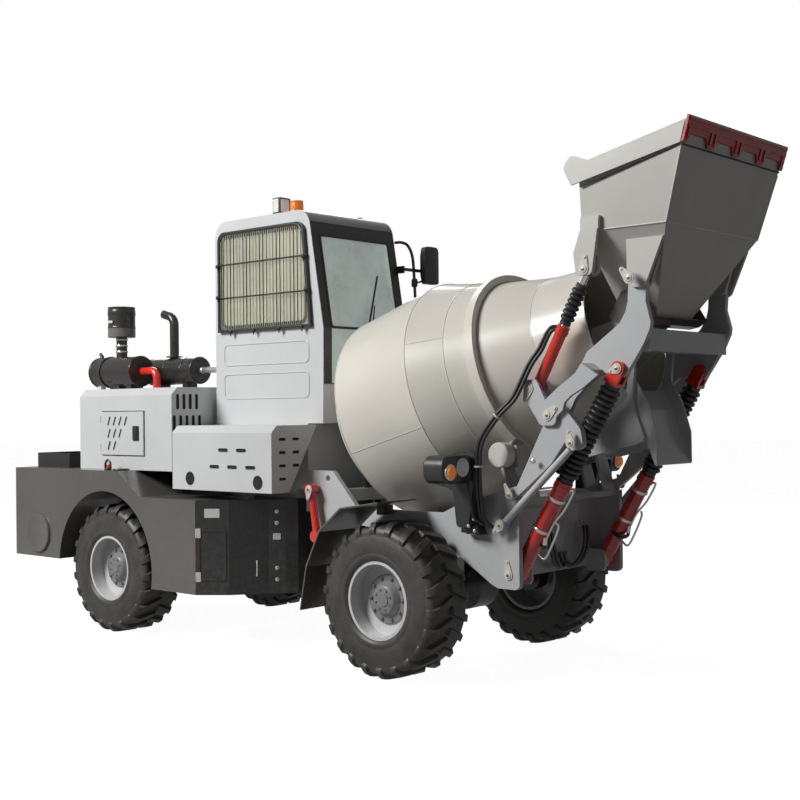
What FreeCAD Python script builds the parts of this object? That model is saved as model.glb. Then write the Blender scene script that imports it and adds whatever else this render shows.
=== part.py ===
import FreeCAD, Part
import Sketcher
import math
import os

# A self-loading concrete mixer: an articulated chassis with the engine and cab
# behind the hinge, and the drum, loader arms and hopper bucket in front of it.
# Lengths are in millimetres, angles in degrees.  While it is drawn, x is
# measured forward from the middle of the wheelbase, y to the driver's left and
# z up from the ground; every sub-part's Placement then moves it back by
# origin_shift, so that the finished part stands on the middle of its own box.

SIZES = {
    # Wheels and axles
    "wheelbase": 3066, "wheel_offset": 870, "tyre_diameter": 1075, "tyre_width": 400,
    "tyre_bead_radius": 264, "lug_depth": 27, "lug_overlap": 12, "tyre_shoulder_drop": 26, "tyre_shoulder_width": 340,
    "lug_height": 22, "sidewall_radius": 400, "rim_width": 356, "rim_flange_radius": 276,
    "rim_flange_width": 14, "rim_thickness": 14, "rim_disc_depth": 118, "rim_disc_thickness": 16,
    "hub_radius": 98, "hub_nose": 40, "hub_depth": 96, "spindle_radius": 45, "running_gap": 0.3,
    "side_gap": 6, "axle_radius": 72, "axle_bowl_radius": 170, "axle_bowl_width": 300,
    "axle_end_radius": 120, "axle_end_length": 110, "axle_seat": 36,
    # Articulation
    "hinge_x": 420, "hinge_pin_radius": 40, "hinge_lug_radius": 95, "hinge_lug_height": 80,
    "hinge_low": 445, "hinge_high": 1155, "hinge_gap": 6,
    # Rear chassis
    "rear_end": -2870, "front_end": 3746, "body_half_width": 1100, "deck_height": 1360, "skirt_low": 577,
    "skirt_inner": 640, "arch_radius": 650, "skirt_rear": -2200, "bevel_start": -1326,
    "bevel_end": -1034, "box_front": -334, "box_low": 420, "box_high": 1155,
    "web_outer": 340, "web_thickness": 30, "web_low": 640, "plate": 12,
    "nose_shoulder_x": -120, "nose_shoulder_y": 940, "nose_knee_x": 60, "nose_knee_y": 690,
    "nose_tip_x": 150, "nose_tip_y": 600, "nose_front_x": 215, "nose_front_y": 520,
    "nose_recess_x": 40, "nose_recess_y": 440, "nose_wall": 60,
    "cab_base_front": 300, "cab_base_rear": -790,
    "tow_slot": 70, "tow_x": -2800, "tow_low": 720, "tow_radius": 17,
    "lashing_x": 670, "lashing_z": 1335, "lashing_radius": 22,
    # Engine hood
    "hood_rear": -2120, "hood_front": -840, "hood_half_width": 920, "hood_top": 2050,
    "hood_bevel": 62, "hood_wall": 20, "hood_door_rear": -1800, "hood_door_front": -1195,
    "hood_door_low": 1480, "hood_door_high": 1860, "hood_door_stand": 14, "door_gap": 6, "knuckle": 10,
    "engine_rear": -2000, "engine_front": -1000, "engine_half_width": 300,
    "engine_low": 900, "engine_high": 1900,
    "cleaner_rear": -2330, "cleaner_front": -1725, "cleaner_y": -550, "cleaner_radius": 135,
    "stack_height": 2210, "saddle": 25, "cleaner_neck_x": -2010, "cleaner_neck_radius": 48,
    "precleaner_radius": 120, "precleaner_low": 2520, "precleaner_high": 2790,
    "muffler_rear": -1950, "muffler_front": -1280, "muffler_y": -250, "muffler_radius": 118,
    "tail_radius": 40, "tail_x": -1640, "tail_top": 2690, "tail_bend": 90, "inlet_radius": 26,
    "inlet_reach": 330, "hose_radius": 33,
    # Side boxes and cab
    "side_box_rear": -770, "side_box_front": 405, "side_box_low": 1225, "side_box_high": 1735,
    "side_box_bevel": 55, "side_box_outer": 970, "side_box_inner_high": 492,
    "side_box_inner_low": 790, "cab_half_width": 485, "cab_low": 1745, "cab_rear": -790,
    "cab_front": 470, "cab_waist_front": 480, "cab_waist": 2490, "cab_brow": 322,
    "cab_top": 3425, "cab_corner_radius": 140, "cab_wall": 40, "roof_line": 3335,
    "window_low": 2540, "window_high": 3290, "window_rear": -690, "window_front": 290,
    "screen_half_width": 400, "screen_low": 2050, "screen_high": 3230, "glass": 8,
    "cab_door_rear": -330, "cab_door_front": 380, "cab_door_low": 1810, "cab_door_high": 3300,
    "door_frame": 70, "rear_window_half_width": 380,
    "guard_stand": 30, "guard_bar_radius": 11, "guard_wire_radius": 3, "guard_wires": 25,
    "guard_overlap": 40,
    "seat_x": -330, "seat_width": 480, "seat_height": 2160, "console_x": 190,
    "wheel_height": 2560, "steering_radius": 190, "steering_bar": 14,
    "beacon_x": -150, "beacon_y": -150, "beacon_radius": 55, "lamp_x": -330,
    "mirror_x": 480, "mirror_y": 770, "mirror_low": 2900, "mirror_high": 3215,
    # Front chassis
    "frame_outer": 640, "frame_plate": 40, "bracket_rear": 435, "bracket_front": 720,
    "bracket_top": 1390, "bracket_low": 1075, "beam_rear": 948, "beam_top": 1125,
    "beam_peak_x": 1925, "beam_peak": 1187, "notch_x": 1994, "notch_low": 988,
    "frame_front": 2440, "frame_front_low": 640, "axle_arch_x": 1830, "axle_arch_reach": 382,
    "beam_low": 897, "spine_half": 190, "spine_high": 1010, "crossbox_rear": 2000,
    "crossbox_front": 2260, "crossbox_low": 690, "crossbox_high": 1240, "fork_inner": 440,
    "fork_plate": 25, "fender_inner": 690, "fender_outer": 1100, "fender_plate": 10, "fender_clearance": 134,
    "ram_y": 665, "ram_radius": 30, "ram_top_x": 550, "ram_top_z": 1250, "ram_low_x": 610, "ram_low": 900,
    # Loader
    "arm_inner": 500, "arm_plate": 40, "arm_cheek": 656, "cheek_plate": 25, "pin_radius": 27,
    "eye_radius": 58, "arm_pivot_x": 2706, "arm_pivot_z": 1796, "horn_x": 2561, "horn_z": 1971,
    "clevis_x": 3162, "clevis_z": 2087, "bucket_pivot_x": 3302, "bucket_pivot_z": 2640,
    "ram_pin_x": 2972, "ram_pin_z": 2720, "lift_pin_x": 2350, "lift_pin_z": 735,
    "cross_tube_x": 3300, "cross_tube_z": 2262, "cross_tube_deep": 120, "cross_tube_high": 140,
    "upright_inner": 600, "upright_thick": 50, "brace_pin_x": 2342, "brace_pin_z": 1070,
    "brace_pin_y": 690, "brace_top_y": 625, "brace_stop": 62, "brace_radius": 25, "lug_x": 2888, "lug_z": 1620,
    "barrel_radius": 55, "barrel_length": 735, "rod_radius": 27, "lift_tail": 695, "barrel_floor": 50, "tilt_tail": 70,
    "bellows_radius": 70, "bellows_valley": 45, "tilt_centre": 590, "tilt_barrel_radius": 40,
    "tilt_barrel_length": 460, "tilt_rod_radius": 20, "tilt_bellows_radius": 50, "tilt_bellows_valley": 32,
    "tilt_eye_radius": 42, "tilt_eye_half": 25, "ear_plate": 25, "ear_gap": 5.5,
    "yoke_x": 2620, "yoke_z": 1560, "yoke_radius": 40,
    # Hopper bucket
    "rim_front_x": 3724, "rim_front_z": 3556, "rim_rear_x": 2945, "rim_rear_z": 3392,
    "rim_half_width": 668, "fold_z": 2965, "fold_front": 3545, "fold_rear": 2941,
    "fold_half_width": 610, "outlet_z": 2430, "outlet_front": 3250, "outlet_rear": 3020,
    "outlet_half_width": 230, "bucket_wall": 12, "gate_x": 3135, "gate_z": 2570,
    "gate_radius": 190, "gate_plate": 10, "gate_half": 412, "gate_lug": 375, "gate_pin": 16,
    "edge_height": 150, "edge_thickness": 16, "edge_arch": 50, "edge_tooth": 90, "rim_band": 135,
    # Drum
    "drum_axis_height": 1521, "drum_tilt": 16.27, "drum_seam": 968, "drum_seam_radius": 789,
    "drum_belly": 1702, "drum_belly_radius": 818, "drum_ring": 2188, "drum_ring_radius": 692,
    "drum_ring_width": 70, "drum_neck_radius": 648, "drum_mouth": 3000,
    "drum_mouth_radius": 470, "drum_wall": 10, "drum_back": 655, "drum_back_radius": 250,
    "drum_dome": 790, "drum_dome_radius": 610, "drum_cone": 2600, "drum_cone_radius": 530,
    "roller_radius": 92, "roller_width": 110, "roller_y": 470, "gear_radius": 120,
    "drive_length": 60, "pedestal_foot": 280, "pedestal_deep": 300,
    # Headlamps, hopper and chute
    "lamp_y": 750, "lamp_thick": 30, "lamp_low": 1280, "lamp_high": 1560, "lamp_rear": 1790,
    "lamp_front": 2200, "hopper_half": 250, "hopper_rear": 2770, "hopper_front": 3110,
    "hopper_low": 2090, "hopper_high": 2290, "chute_half": 230,
}

doc = FreeCAD.newDocument("ConcreteMixer")
sheet = doc.addObject("Spreadsheet::Sheet", "Sizes")
for row, (alias, value) in enumerate(SIZES.items(), start=1):
    sheet.set(f"A{row}", alias)
    sheet.set(f"B{row}", str(value))
    sheet.setAlias(f"B{row}", alias)
doc.recompute()


class Size:
    """A length or angle: its number, and the expression that ties it to the sheet."""

    def __init__(self, value, text=None):
        self.value = float(value)
        self.text = text if text else f"{value:.10g}"

    def __add__(self, other):
        other = sized(other)
        return Size(self.value + other.value, f"({self.text} + {other.text})")

    def __sub__(self, other):
        other = sized(other)
        return Size(self.value - other.value, f"({self.text} - {other.text})")

    def __mul__(self, other):
        other = sized(other)
        return Size(self.value * other.value, f"({self.text} * {other.text})")

    def __truediv__(self, other):
        other = sized(other)
        return Size(self.value / other.value, f"({self.text} / {other.text})")

    def __radd__(self, other):
        return sized(other) + self

    def __rsub__(self, other):
        return sized(other) - self

    def __rmul__(self, other):
        return sized(other) * self

    def __neg__(self):
        return Size(-self.value, f"(0 - {self.text})")


def sized(number):
    """The number as a Size, if it isn't one yet."""
    return number if isinstance(number, Size) else Size(number)


def cosine(angle):
    return Size(math.cos(math.radians(angle.value)), f"cos({angle.text})")


def sine(angle):
    return Size(math.sin(math.radians(angle.value)), f"sin({angle.text})")


def root(square):
    return Size(math.sqrt(square.value), f"sqrt({square.text})")


def reach(run, rise):
    """The straight distance over a run and a rise."""
    return root(sized(run) * run + sized(rise) * rise)


def slope(run, rise):
    """The angle in degrees that a run and a rise make above level."""
    return Size(math.degrees(math.atan2(rise.value, run.value)),
                f"(atan2({rise.text}; {run.text}) / 1 deg)")


class Named:
    """The sheet's sizes by name, such as d.wheelbase."""

    def __getattr__(self, name):
        return Size(SIZES[name], f"Sizes.{name}")


d = Named()
origin_shift = (d.front_end + d.rear_end) / 2


def bind(thing, path, size):
    """Ties one property of a document object to a size."""
    thing.setExpression(path, sized(size).text)


# ---------------------------------------------------------------- building tools

PLANES = {"XY": "XY_Plane", "XZ": "XZ_Plane", "YZ": "YZ_Plane"}
parts = {}


def body(label):
    """A new sub-part, drawn in the model's frame."""
    made = doc.addObject("PartDesign::Body", label)
    made.Label = label
    made.AllowCompound = True
    parts[label] = made
    place(made, 0, 0, 0)
    return made


def place(made, x, y, z, pitch=None):
    """Puts a sub-part's own origin at (x, y, z), with its x axis pitched up."""
    x, y, z = sized(x) - origin_shift, sized(y), sized(z)
    turn = FreeCAD.Rotation()
    if pitch is not None:
        turn = FreeCAD.Rotation(FreeCAD.Vector(0, 1, 0), -pitch.value)
    made.Placement = FreeCAD.Placement(FreeCAD.Vector(x.value, y.value, z.value), turn)
    bind(made, "Placement.Base.x", x)
    bind(made, "Placement.Base.y", y)
    bind(made, "Placement.Base.z", z)
    if pitch is not None:
        bind(made, "Placement.Rotation.Angle", -pitch)


class Ring:
    """A circle in a sketch."""

    def __init__(self, u, v, radius):
        self.u, self.v, self.radius = sized(u), sized(v), sized(radius)


def rect(left, right, low, high):
    """A rectangle between two widths and two heights."""
    return [(left, low), (right, low), (right, high), (left, high)]


def add_ring(sketch, ring):
    centre = FreeCAD.Vector(ring.u.value, ring.v.value, 0)
    circle = sketch.addGeometry(Part.Circle(centre, FreeCAD.Vector(0, 0, 1), ring.radius.value))
    for kind, size in (("DistanceX", ring.u), ("DistanceY", ring.v)):
        held = sketch.addConstraint(Sketcher.Constraint(kind, circle, 3, size.value))
        bind(sketch, f"Constraints[{held}]", size)
    held = sketch.addConstraint(Sketcher.Constraint("Radius", circle, ring.radius.value))
    bind(sketch, f"Constraints[{held}]", ring.radius)


def hold(sketch, geometry, point, corner):
    """Holds a sketch point at a corner's two coordinates."""
    for kind, size in (("DistanceX", corner[0]), ("DistanceY", corner[1])):
        held = sketch.addConstraint(Sketcher.Constraint(kind, geometry, point, size.value))
        bind(sketch, f"Constraints[{held}]", size)


def add_outline(sketch, corners):
    """A closed outline of straight sides; a corner (u, v, r) is rounded to radius r."""
    corners = [tuple(sized(value) for value in corner) for corner in corners]
    points = [FreeCAD.Vector(c[0].value, c[1].value, 0) for c in corners]
    count = len(corners)
    enter, leave, arcs = [], [], {}
    for i, corner in enumerate(corners):
        before = (points[i - 1] - points[i]).normalize()
        after = (points[(i + 1) % count] - points[i]).normalize()
        if len(corner) == 2:
            enter.append(points[i])
            leave.append(points[i])
            continue
        half = before.getAngle(after) / 2
        cut = corner[2].value / math.tan(half)
        enter.append(points[i] + before * cut)
        leave.append(points[i] + after * cut)
        middle = points[i] + (before + after).normalize() * (corner[2].value / math.sin(half))
        start, end = enter[i] - middle, leave[i] - middle
        if start.cross(end).z < 0:
            start, end = end, start
        first = math.atan2(start.y, start.x)
        last = math.atan2(end.y, end.x)
        circle = Part.Circle(middle, FreeCAD.Vector(0, 0, 1), corner[2].value)
        arcs[i] = Part.ArcOfCircle(circle, first, last if last > first else last + 2 * math.pi)
    lines = [sketch.addGeometry(Part.LineSegment(leave[i], enter[(i + 1) % count]))
             for i in range(count)]
    for i, corner in enumerate(corners):
        into, out = lines[i - 1], lines[i]
        if i not in arcs:
            sketch.addConstraint(Sketcher.Constraint("Coincident", into, 2, out, 1))
            hold(sketch, out, 1, corner)
            continue
        arc = sketch.addGeometry(arcs[i])
        entry = 1 if (arcs[i].StartPoint - enter[i]).Length < (arcs[i].EndPoint - enter[i]).Length else 2
        sketch.addConstraint(Sketcher.Constraint("Tangent", into, 2, arc, entry))
        sketch.addConstraint(Sketcher.Constraint("Tangent", arc, 3 - entry, out, 1))
        held = sketch.addConstraint(Sketcher.Constraint("Radius", arc, corner[2].value))
        bind(sketch, f"Constraints[{held}]", corner[2])
        apex = sketch.addGeometry(Part.Point(points[i]), True)
        hold(sketch, apex, 1, corner)
        sketch.addConstraint(Sketcher.Constraint("PointOnObject", apex, 1, into))
        sketch.addConstraint(Sketcher.Constraint("PointOnObject", apex, 1, out))


def draw(made, plane, offset, outlines):
    """A sketch on one of the sub-part's own planes, moved along the plane's normal."""
    sketch = made.newObject("Sketcher::SketchObject", made.Name + "_outline")
    face = [f for f in made.Origin.OriginFeatures if f.Role == PLANES[plane]][0]
    sketch.AttachmentSupport = [(face, "")]
    sketch.MapMode = "FlatFace"
    sketch.AttachmentOffset = FreeCAD.Placement(FreeCAD.Vector(0, 0, offset.value), FreeCAD.Rotation())
    bind(sketch, "AttachmentOffset.Base.z", offset)
    for outline in outlines:
        if isinstance(outline, Ring):
            add_ring(sketch, outline)
        else:
            add_outline(sketch, outline)
    return sketch


def pad(made, plane, low, high, *outlines):
    """Adds the outlines' shape from low to high along the axis that the plane leaves out."""
    low, high = sized(low), sized(high)
    start = -high if plane == "XZ" else low
    feature = made.newObject("PartDesign::Pad", made.Name + "_pad")
    feature.Profile = draw(made, plane, start, outlines)
    feature.Length = (high - low).value
    bind(feature, "Length", high - low)
    return feature


def pad_both(made, low, high, *outlines):
    """Adds a side-view shape on both sides of the machine, from low to high off the centre."""
    pad(made, "XZ", low, high, *outlines)
    pad(made, "XZ", -sized(high), -sized(low), *outlines)


def cut(made, plane, low, high, *outlines):
    """Cuts the outlines' shape from low to high along the axis that the plane leaves out."""
    low, high = sized(low), sized(high)
    start = -low if plane == "XZ" else high
    feature = made.newObject("PartDesign::Pocket", made.Name + "_pocket")
    feature.Profile = draw(made, plane, start, outlines)
    feature.Length = (high - low).value
    bind(feature, "Length", high - low)
    return feature


def spin(made, plane, axis, *outlines):
    """Turns a half section all the way round the sketch's own H_Axis or V_Axis."""
    feature = made.newObject("PartDesign::Revolution", made.Name + "_turned")
    sketch = draw(made, plane, sized(0), outlines)
    feature.Profile = sketch
    feature.ReferenceAxis = (sketch, [axis])
    feature.Angle = 360
    return feature


def bore(made, plane, axis, *outlines):
    """Cuts a half section all the way round the sketch's own H_Axis or V_Axis."""
    feature = made.newObject("PartDesign::Groove", made.Name + "_bored")
    sketch = draw(made, plane, sized(0), outlines)
    feature.Profile = sketch
    feature.ReferenceAxis = (sketch, [axis])
    feature.Angle = 360
    return feature


def rod(made, plane, low, high, u, v, radius):
    """A round bar along the axis that the plane leaves out."""
    return pad(made, plane, low, high, Ring(u, v, radius))


def pipe(points, radius):
    """A bent round bar: straight runs joined by arcs, whose radius is three of its own."""
    points = [tuple(sized(value) for value in point) for point in points]
    corners = [FreeCAD.Vector(*(value.value for value in point)) for point in points]
    edges, start = [], corners[0]
    for i in range(1, len(corners) - 1):
        before = (corners[i - 1] - corners[i]).normalize()
        after = (corners[i + 1] - corners[i]).normalize()
        half = before.getAngle(after) / 2
        run = min((corners[i - 1] - corners[i]).Length, (corners[i + 1] - corners[i]).Length)
        back = min(run * 0.45, 3 * radius.value / math.tan(half))
        bend = back * math.tan(half)
        middle = corners[i] + (before + after).normalize() * (bend / math.sin(half))
        inner = middle - (before + after).normalize() * bend
        edges.append(Part.LineSegment(start, corners[i] + before * back).toShape())
        edges.append(Part.Arc(corners[i] + before * back, inner, corners[i] + after * back).toShape())
        start = corners[i] + after * back
    edges.append(Part.LineSegment(start, corners[-1]).toShape())
    path = Part.Wire(edges)
    end = Part.Wire(Part.makeCircle(radius.value, corners[0], corners[1] - corners[0]))
    return path.makePipeShell([end], True, True)


def vector(point):
    return FreeCAD.Vector(*(sized(value).value for value in point))


def bar(low, high, radius, eye, eyes):
    """A straight round bar between two points, with eyes across the machine at some ends."""
    ends = [vector(low), vector(high)]
    across = FreeCAD.Vector(0, radius.value * 1.2, 0)
    shape = Part.makeCylinder(radius.value, (ends[1] - ends[0]).Length, ends[0], ends[1] - ends[0])
    for end in ends[:eyes]:
        shape = shape.fuse(Part.makeCylinder(eye.value, across.Length * 2, end - across, across))
    return shape.removeSplitter()


def feature(label, shape):
    """A sub-part whose shape is computed here from the sheet's sizes."""
    made = doc.addObject("Part::Feature", label)
    made.Label = label
    made.Shape = shape
    parts[label] = made
    place(made, 0, 0, 0)
    return made


# ---------------------------------------------------------------- wheels and axles

half_base = d.wheelbase / 2
wheel_height = d.tyre_diameter / 2
SIDES = {"left": 1, "right": -1}
AXLES = {"front": 1, "rear": -1}


LUGS_PER_ROW = 22
LUG_SLANT = 1.25


def lugged_ring():
    """The tyre's solid: a faceted ring, with two staggered rows of slanted lugs.

    Each sector spans half a lug's pitch. The left row's lug stands in one sector and the right
    row's in the next, and both reach a little past the middle. A point is turned further round
    the axle the further it lies from the middle, which slants the lugs.
    """
    sectors = LUGS_PER_ROW * 2
    step = 2 * math.pi / sectors
    spare = 1 / math.cos(step / 2)
    wide, crown = d.tyre_width.value / 2, d.tyre_diameter.value / 2
    flat, past = d.tyre_shoulder_width.value / 2, d.lug_overlap.value
    root = crown - d.lug_depth.value
    shoulder = crown - d.tyre_shoulder_drop.value * 2
    seat = d.rim_width.value / 2 - d.rim_flange_width.value - d.running_gap.value
    bead = d.tyre_bead_radius.value * spare
    flange = (d.rim_flange_radius.value + d.running_gap.value) * spare
    side_radius = d.sidewall_radius.value

    def corner(station, y, radius):
        turn = (station + LUG_SLANT * max(abs(y), seat if radius < side_radius else 0) / wide) * step
        return FreeCAD.Vector(radius * math.sin(turn), y, radius * math.cos(turn))

    def facet(*points):
        return Part.Face(Part.makePolygon([*points, points[0]]))

    def strip(station, first, second, bent):
        """The facets between two lines of points, over one sector: two triangles where it is bent."""
        ends = [corner(station, *first), corner(station, *second),
                corner(station + 1, *second), corner(station + 1, *first)]
        if bent:
            return [facet(*ends[:3]), facet(ends[0], *ends[2:])]
        return [facet(*ends)]

    facets = []
    for station in range(sectors):
        tall_side = 1 if station % 2 else -1
        facets += strip(station, (seat, bead), (-seat, bead), False)
        facets += strip(station, (past, crown), (-past, crown), False)
        facets += strip(station, (-tall_side * past, crown), (-tall_side * past, root), False)
        for side in (1, -1):
            top = crown if side == tall_side else root
            lines = [(seat, bead), (seat, flange), (wide, side_radius), (wide, shoulder), (flat, top), (past, top)]
            lines = [(y * side, radius) for y, radius in lines]
            for first, second in zip(lines, lines[1:]):
                facets += strip(station, first, second, first[0] != second[0])
            wall = [corner(station, y * side, radius) for y, radius in (
                (wide, shoulder), (flat, crown), (flat, root), (past, crown), (past, root))]
            facets += [facet(*wall[:3]), facet(*wall[1:4]), facet(*wall[2:])]
    shell = Part.makeShell(facets)
    shell.sewShape()
    ring = Part.makeSolid(shell)
    if ring.Volume < 0:
        ring.reverse()
    return ring


tyre_ring = lugged_ring()


def make_tyre(name):
    """A tyre, from its bead out to the tips of its lugs."""
    return feature(f"tyre_{name}", tyre_ring.copy())


def make_rim(name, side):
    """A deep dished rim with its hub; out is measured from the wheel's middle, outwards."""
    made = body(f"rim_{name}")
    half, lip = d.rim_width / 2, d.rim_width / 2 - d.rim_flange_width
    seat = d.tyre_bead_radius - d.running_gap
    inside = seat - d.rim_thickness
    disc = half - d.rim_disc_depth
    back = disc - d.rim_disc_thickness
    nose = disc + d.hub_nose
    tail = back - d.hub_depth
    shaft = d.spindle_radius + d.running_gap
    outline = [(-half, inside), (back, inside), (back, d.hub_radius), (tail, d.hub_radius),
               (tail, shaft), (back, shaft), (back, 0), (nose, 0), (nose, d.hub_radius * 0.8),
               (disc, d.hub_radius), (disc, inside), (half, inside), (half, d.rim_flange_radius),
               (lip, d.rim_flange_radius), (lip, seat), (-lip, seat), (-lip, d.rim_flange_radius),
               (-half, d.rim_flange_radius)]
    spin(made, "YZ", "H_Axis", [(u * side, v) for u, v in outline])
    return made


def make_axle(name):
    """An axle housing with its centre bowl, end housings and spindles."""
    made = body(f"axle_{name}")
    hub_face = d.wheel_offset + d.rim_width / 2 - d.rim_disc_depth - d.rim_disc_thickness
    tail = hub_face - d.hub_depth
    shoulder = tail - d.side_gap
    bowl = d.axle_bowl_width / 2
    end = shoulder - d.axle_end_length
    tip = hub_face - d.side_gap
    spin(made, "YZ", "H_Axis", [
        (-tip, 0), (tip, 0), (tip, d.spindle_radius), (shoulder, d.spindle_radius),
        (shoulder, d.axle_end_radius), (end, d.axle_end_radius), (end, d.axle_radius),
        (bowl * 1.25, d.axle_radius), (bowl * 0.7, d.axle_bowl_radius), (-bowl * 0.7, d.axle_bowl_radius),
        (-bowl * 1.25, d.axle_radius), (-end, d.axle_radius), (-end, d.axle_end_radius),
        (-shoulder, d.axle_end_radius), (-shoulder, d.spindle_radius), (-tip, d.spindle_radius)])
    return made


for axle, forward in AXLES.items():
    place(make_axle(axle), half_base * forward, 0, wheel_height)
    for hand, side in SIDES.items():
        name = f"{axle}_{hand}"
        place(make_tyre(name), half_base * forward, d.wheel_offset * side, wheel_height)
        place(make_rim(name, side), half_base * forward, d.wheel_offset * side, wheel_height)

# Axle seats: the blocks on the chassis webs that the housings are clamped in.
axle_top = wheel_height + d.axle_radius

# ---------------------------------------------------------------- rear chassis

rear_axle_x = -half_base
web_inner = d.web_outer - d.web_thickness
rear_frame = body("rear_frame")
seat_half = d.axle_radius * 1.2
web_front = d.box_front
pad_both(rear_frame, web_inner, d.web_outer, [
    (d.skirt_rear, d.web_low), (rear_axle_x - seat_half, d.web_low),
    (rear_axle_x - seat_half, axle_top), (rear_axle_x + seat_half, axle_top),
    (rear_axle_x + seat_half, d.web_low), (web_front, d.web_low),
    (web_front, d.deck_height - d.plate), (d.skirt_rear, d.deck_height - d.plate)])
pad(rear_frame, "XY", d.deck_height - d.plate, d.deck_height,
    rect(d.skirt_rear, d.hood_front, -d.skirt_inner, d.skirt_inner))
pad(rear_frame, "XY", d.web_low, d.web_low + d.plate * 2,
    rect(d.skirt_rear, d.skirt_rear + d.web_outer, -web_inner, web_inner))
pad(rear_frame, "XY", d.web_low, d.web_low + d.plate * 2,
    rect(web_front - d.web_outer, web_front, -web_inner, web_inner))
cut(rear_frame, "XY", d.deck_height - d.plate, d.deck_height,
    rect(d.engine_rear - d.plate, d.engine_front + d.plate,
         -d.engine_half_width + d.plate, d.engine_half_width - d.plate))

# The cab stands on a box-shaped base that also carries the side boxes.
cab_base = body("cab_base")
pad(cab_base, "XY", d.box_high, d.side_box_low, rect(
    d.box_front, d.cab_base_front - d.cab_half_width / 4, -d.cab_half_width, d.cab_half_width))
pad(cab_base, "XY", d.side_box_low, d.deck_height - d.plate,
    rect(d.box_front, d.cab_base_front, -d.cab_half_width, d.cab_half_width))
pad(cab_base, "XY", d.deck_height - d.plate, d.cab_low,
    rect(d.cab_base_rear, d.cab_base_front, -d.cab_half_width, d.cab_half_width))

rear_fenders = body("rear_fenders")
arch = Ring(rear_axle_x, wheel_height, d.arch_radius)
for low, high in ((d.skirt_inner, d.body_half_width), (-d.body_half_width, -d.skirt_inner)):
    pad(rear_fenders, "XZ", low, high, [
        (d.skirt_rear, d.skirt_low), (rear_axle_x, d.skirt_low), (rear_axle_x, d.box_low),
        (d.box_front, d.box_low), (d.box_front, d.box_high), (d.bevel_end, d.box_high),
        (d.bevel_start, d.deck_height), (d.skirt_rear, d.deck_height)])
    cut(rear_fenders, "XZ", low, high, arch)

counterweight = body("counterweight")
pad(counterweight, "XZ", -d.body_half_width, d.body_half_width,
    rect(d.rear_end, d.skirt_rear, d.skirt_low, d.deck_height))

# A slot in its foot takes a towing eye, which a pin from below holds.
cut(counterweight, "XZ", -d.tow_slot, d.tow_slot, rect(
    d.rear_end, d.tow_x + d.tow_slot, d.tow_low, d.tow_low + d.tow_slot))
cut(counterweight, "XY", d.skirt_low, d.tow_low + d.tow_slot * 2, Ring(d.tow_x, 0, d.tow_radius))

# The nose carries the tool boxes and, at its tip, the two lugs of the chassis hinge.
hinge_nose = body("hinge_nose")
plan = [(d.box_front, -d.body_half_width), (d.nose_shoulder_x, -d.nose_shoulder_y),
        (d.nose_knee_x, -d.nose_knee_y), (d.nose_tip_x, -d.nose_tip_y),
        (d.nose_front_x, -d.nose_front_y), (d.nose_front_x, d.nose_front_y),
        (d.nose_tip_x, d.nose_tip_y), (d.nose_knee_x, d.nose_knee_y),
        (d.nose_shoulder_x, d.nose_shoulder_y), (d.box_front, d.body_half_width)]
pad(hinge_nose, "XY", d.box_low, d.box_high, plan)
cut(hinge_nose, "XY", d.box_low + d.nose_wall, d.box_high - d.nose_wall,
    rect(d.nose_recess_x, d.nose_front_x, -d.nose_recess_y, d.nose_recess_y))
lug_root = d.nose_front_x
for low in (d.hinge_low, d.hinge_high - d.hinge_lug_height):
    pad(hinge_nose, "XY", low, low + d.hinge_lug_height,
        [(lug_root, -d.hinge_lug_radius * 2), (d.hinge_x, -d.hinge_lug_radius),
         (d.hinge_x, d.hinge_lug_radius), (lug_root, d.hinge_lug_radius * 2)])
    rod(hinge_nose, "XY", low, low + d.hinge_lug_height, d.hinge_x, 0, d.hinge_lug_radius)
rod(hinge_nose, "XY", d.hinge_low, d.hinge_high, d.hinge_x, 0, d.hinge_pin_radius)

# ---------------------------------------------------------------- engine hood

hood = body("engine_hood")


def hood_section(inset):
    """The hood's cross-section, drawn in by its wall's thickness."""
    wide, top, bevel = d.hood_half_width - inset, d.hood_top - inset, d.hood_bevel
    return [(-wide, d.deck_height), (wide, d.deck_height), (wide, top - bevel), (wide - bevel, top),
            (-wide + bevel, top), (-wide, top - bevel)]


pad(hood, "YZ", d.hood_rear, d.hood_front, hood_section(0))
cut(hood, "YZ", d.hood_rear + d.hood_wall, d.hood_front - d.hood_wall, hood_section(d.hood_wall))
for low, high in ((d.hood_half_width - d.hood_wall, d.hood_half_width),
                  (-d.hood_half_width, -d.hood_half_width + d.hood_wall)):
    cut(hood, "XZ", low, high, rect(d.hood_door_rear, d.hood_door_front, d.hood_door_low, d.hood_door_high))

knuckle_y = d.hood_half_width + d.knuckle + d.running_gap
for hand, side in SIDES.items():
    door = body(f"hood_door_{hand}")
    inner, outer = d.hood_half_width - d.hood_wall + d.door_gap, d.hood_half_width + d.hood_door_stand
    low, high = (inner, outer) if side > 0 else (-outer, -inner)
    pad(door, "XZ", low, high, rect(d.hood_door_rear + d.door_gap, d.hood_door_front - d.door_gap,
                                    d.hood_door_low + d.door_gap, d.hood_door_high - d.door_gap))
    for knuckle in (d.hood_door_low + d.knuckle * 4, d.hood_door_high - d.knuckle * 10):
        rod(door, "XY", knuckle, knuckle + d.knuckle * 6, d.hood_door_rear, knuckle_y * side, d.knuckle)

engine = body("engine_block")
pad(engine, "XY", d.engine_low, d.engine_high, rect(
    d.engine_rear, d.engine_front, -d.engine_half_width + d.plate * 2, d.engine_half_width - d.plate * 2))

for mount_x in (d.engine_rear + d.side_box_bevel, d.engine_front - d.side_box_bevel * 3):
    pad(engine, "XY", d.engine_low + d.side_box_bevel, d.engine_low + d.side_box_bevel * 2,
        rect(mount_x, mount_x + d.side_box_bevel * 2, -web_inner, web_inner))

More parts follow.
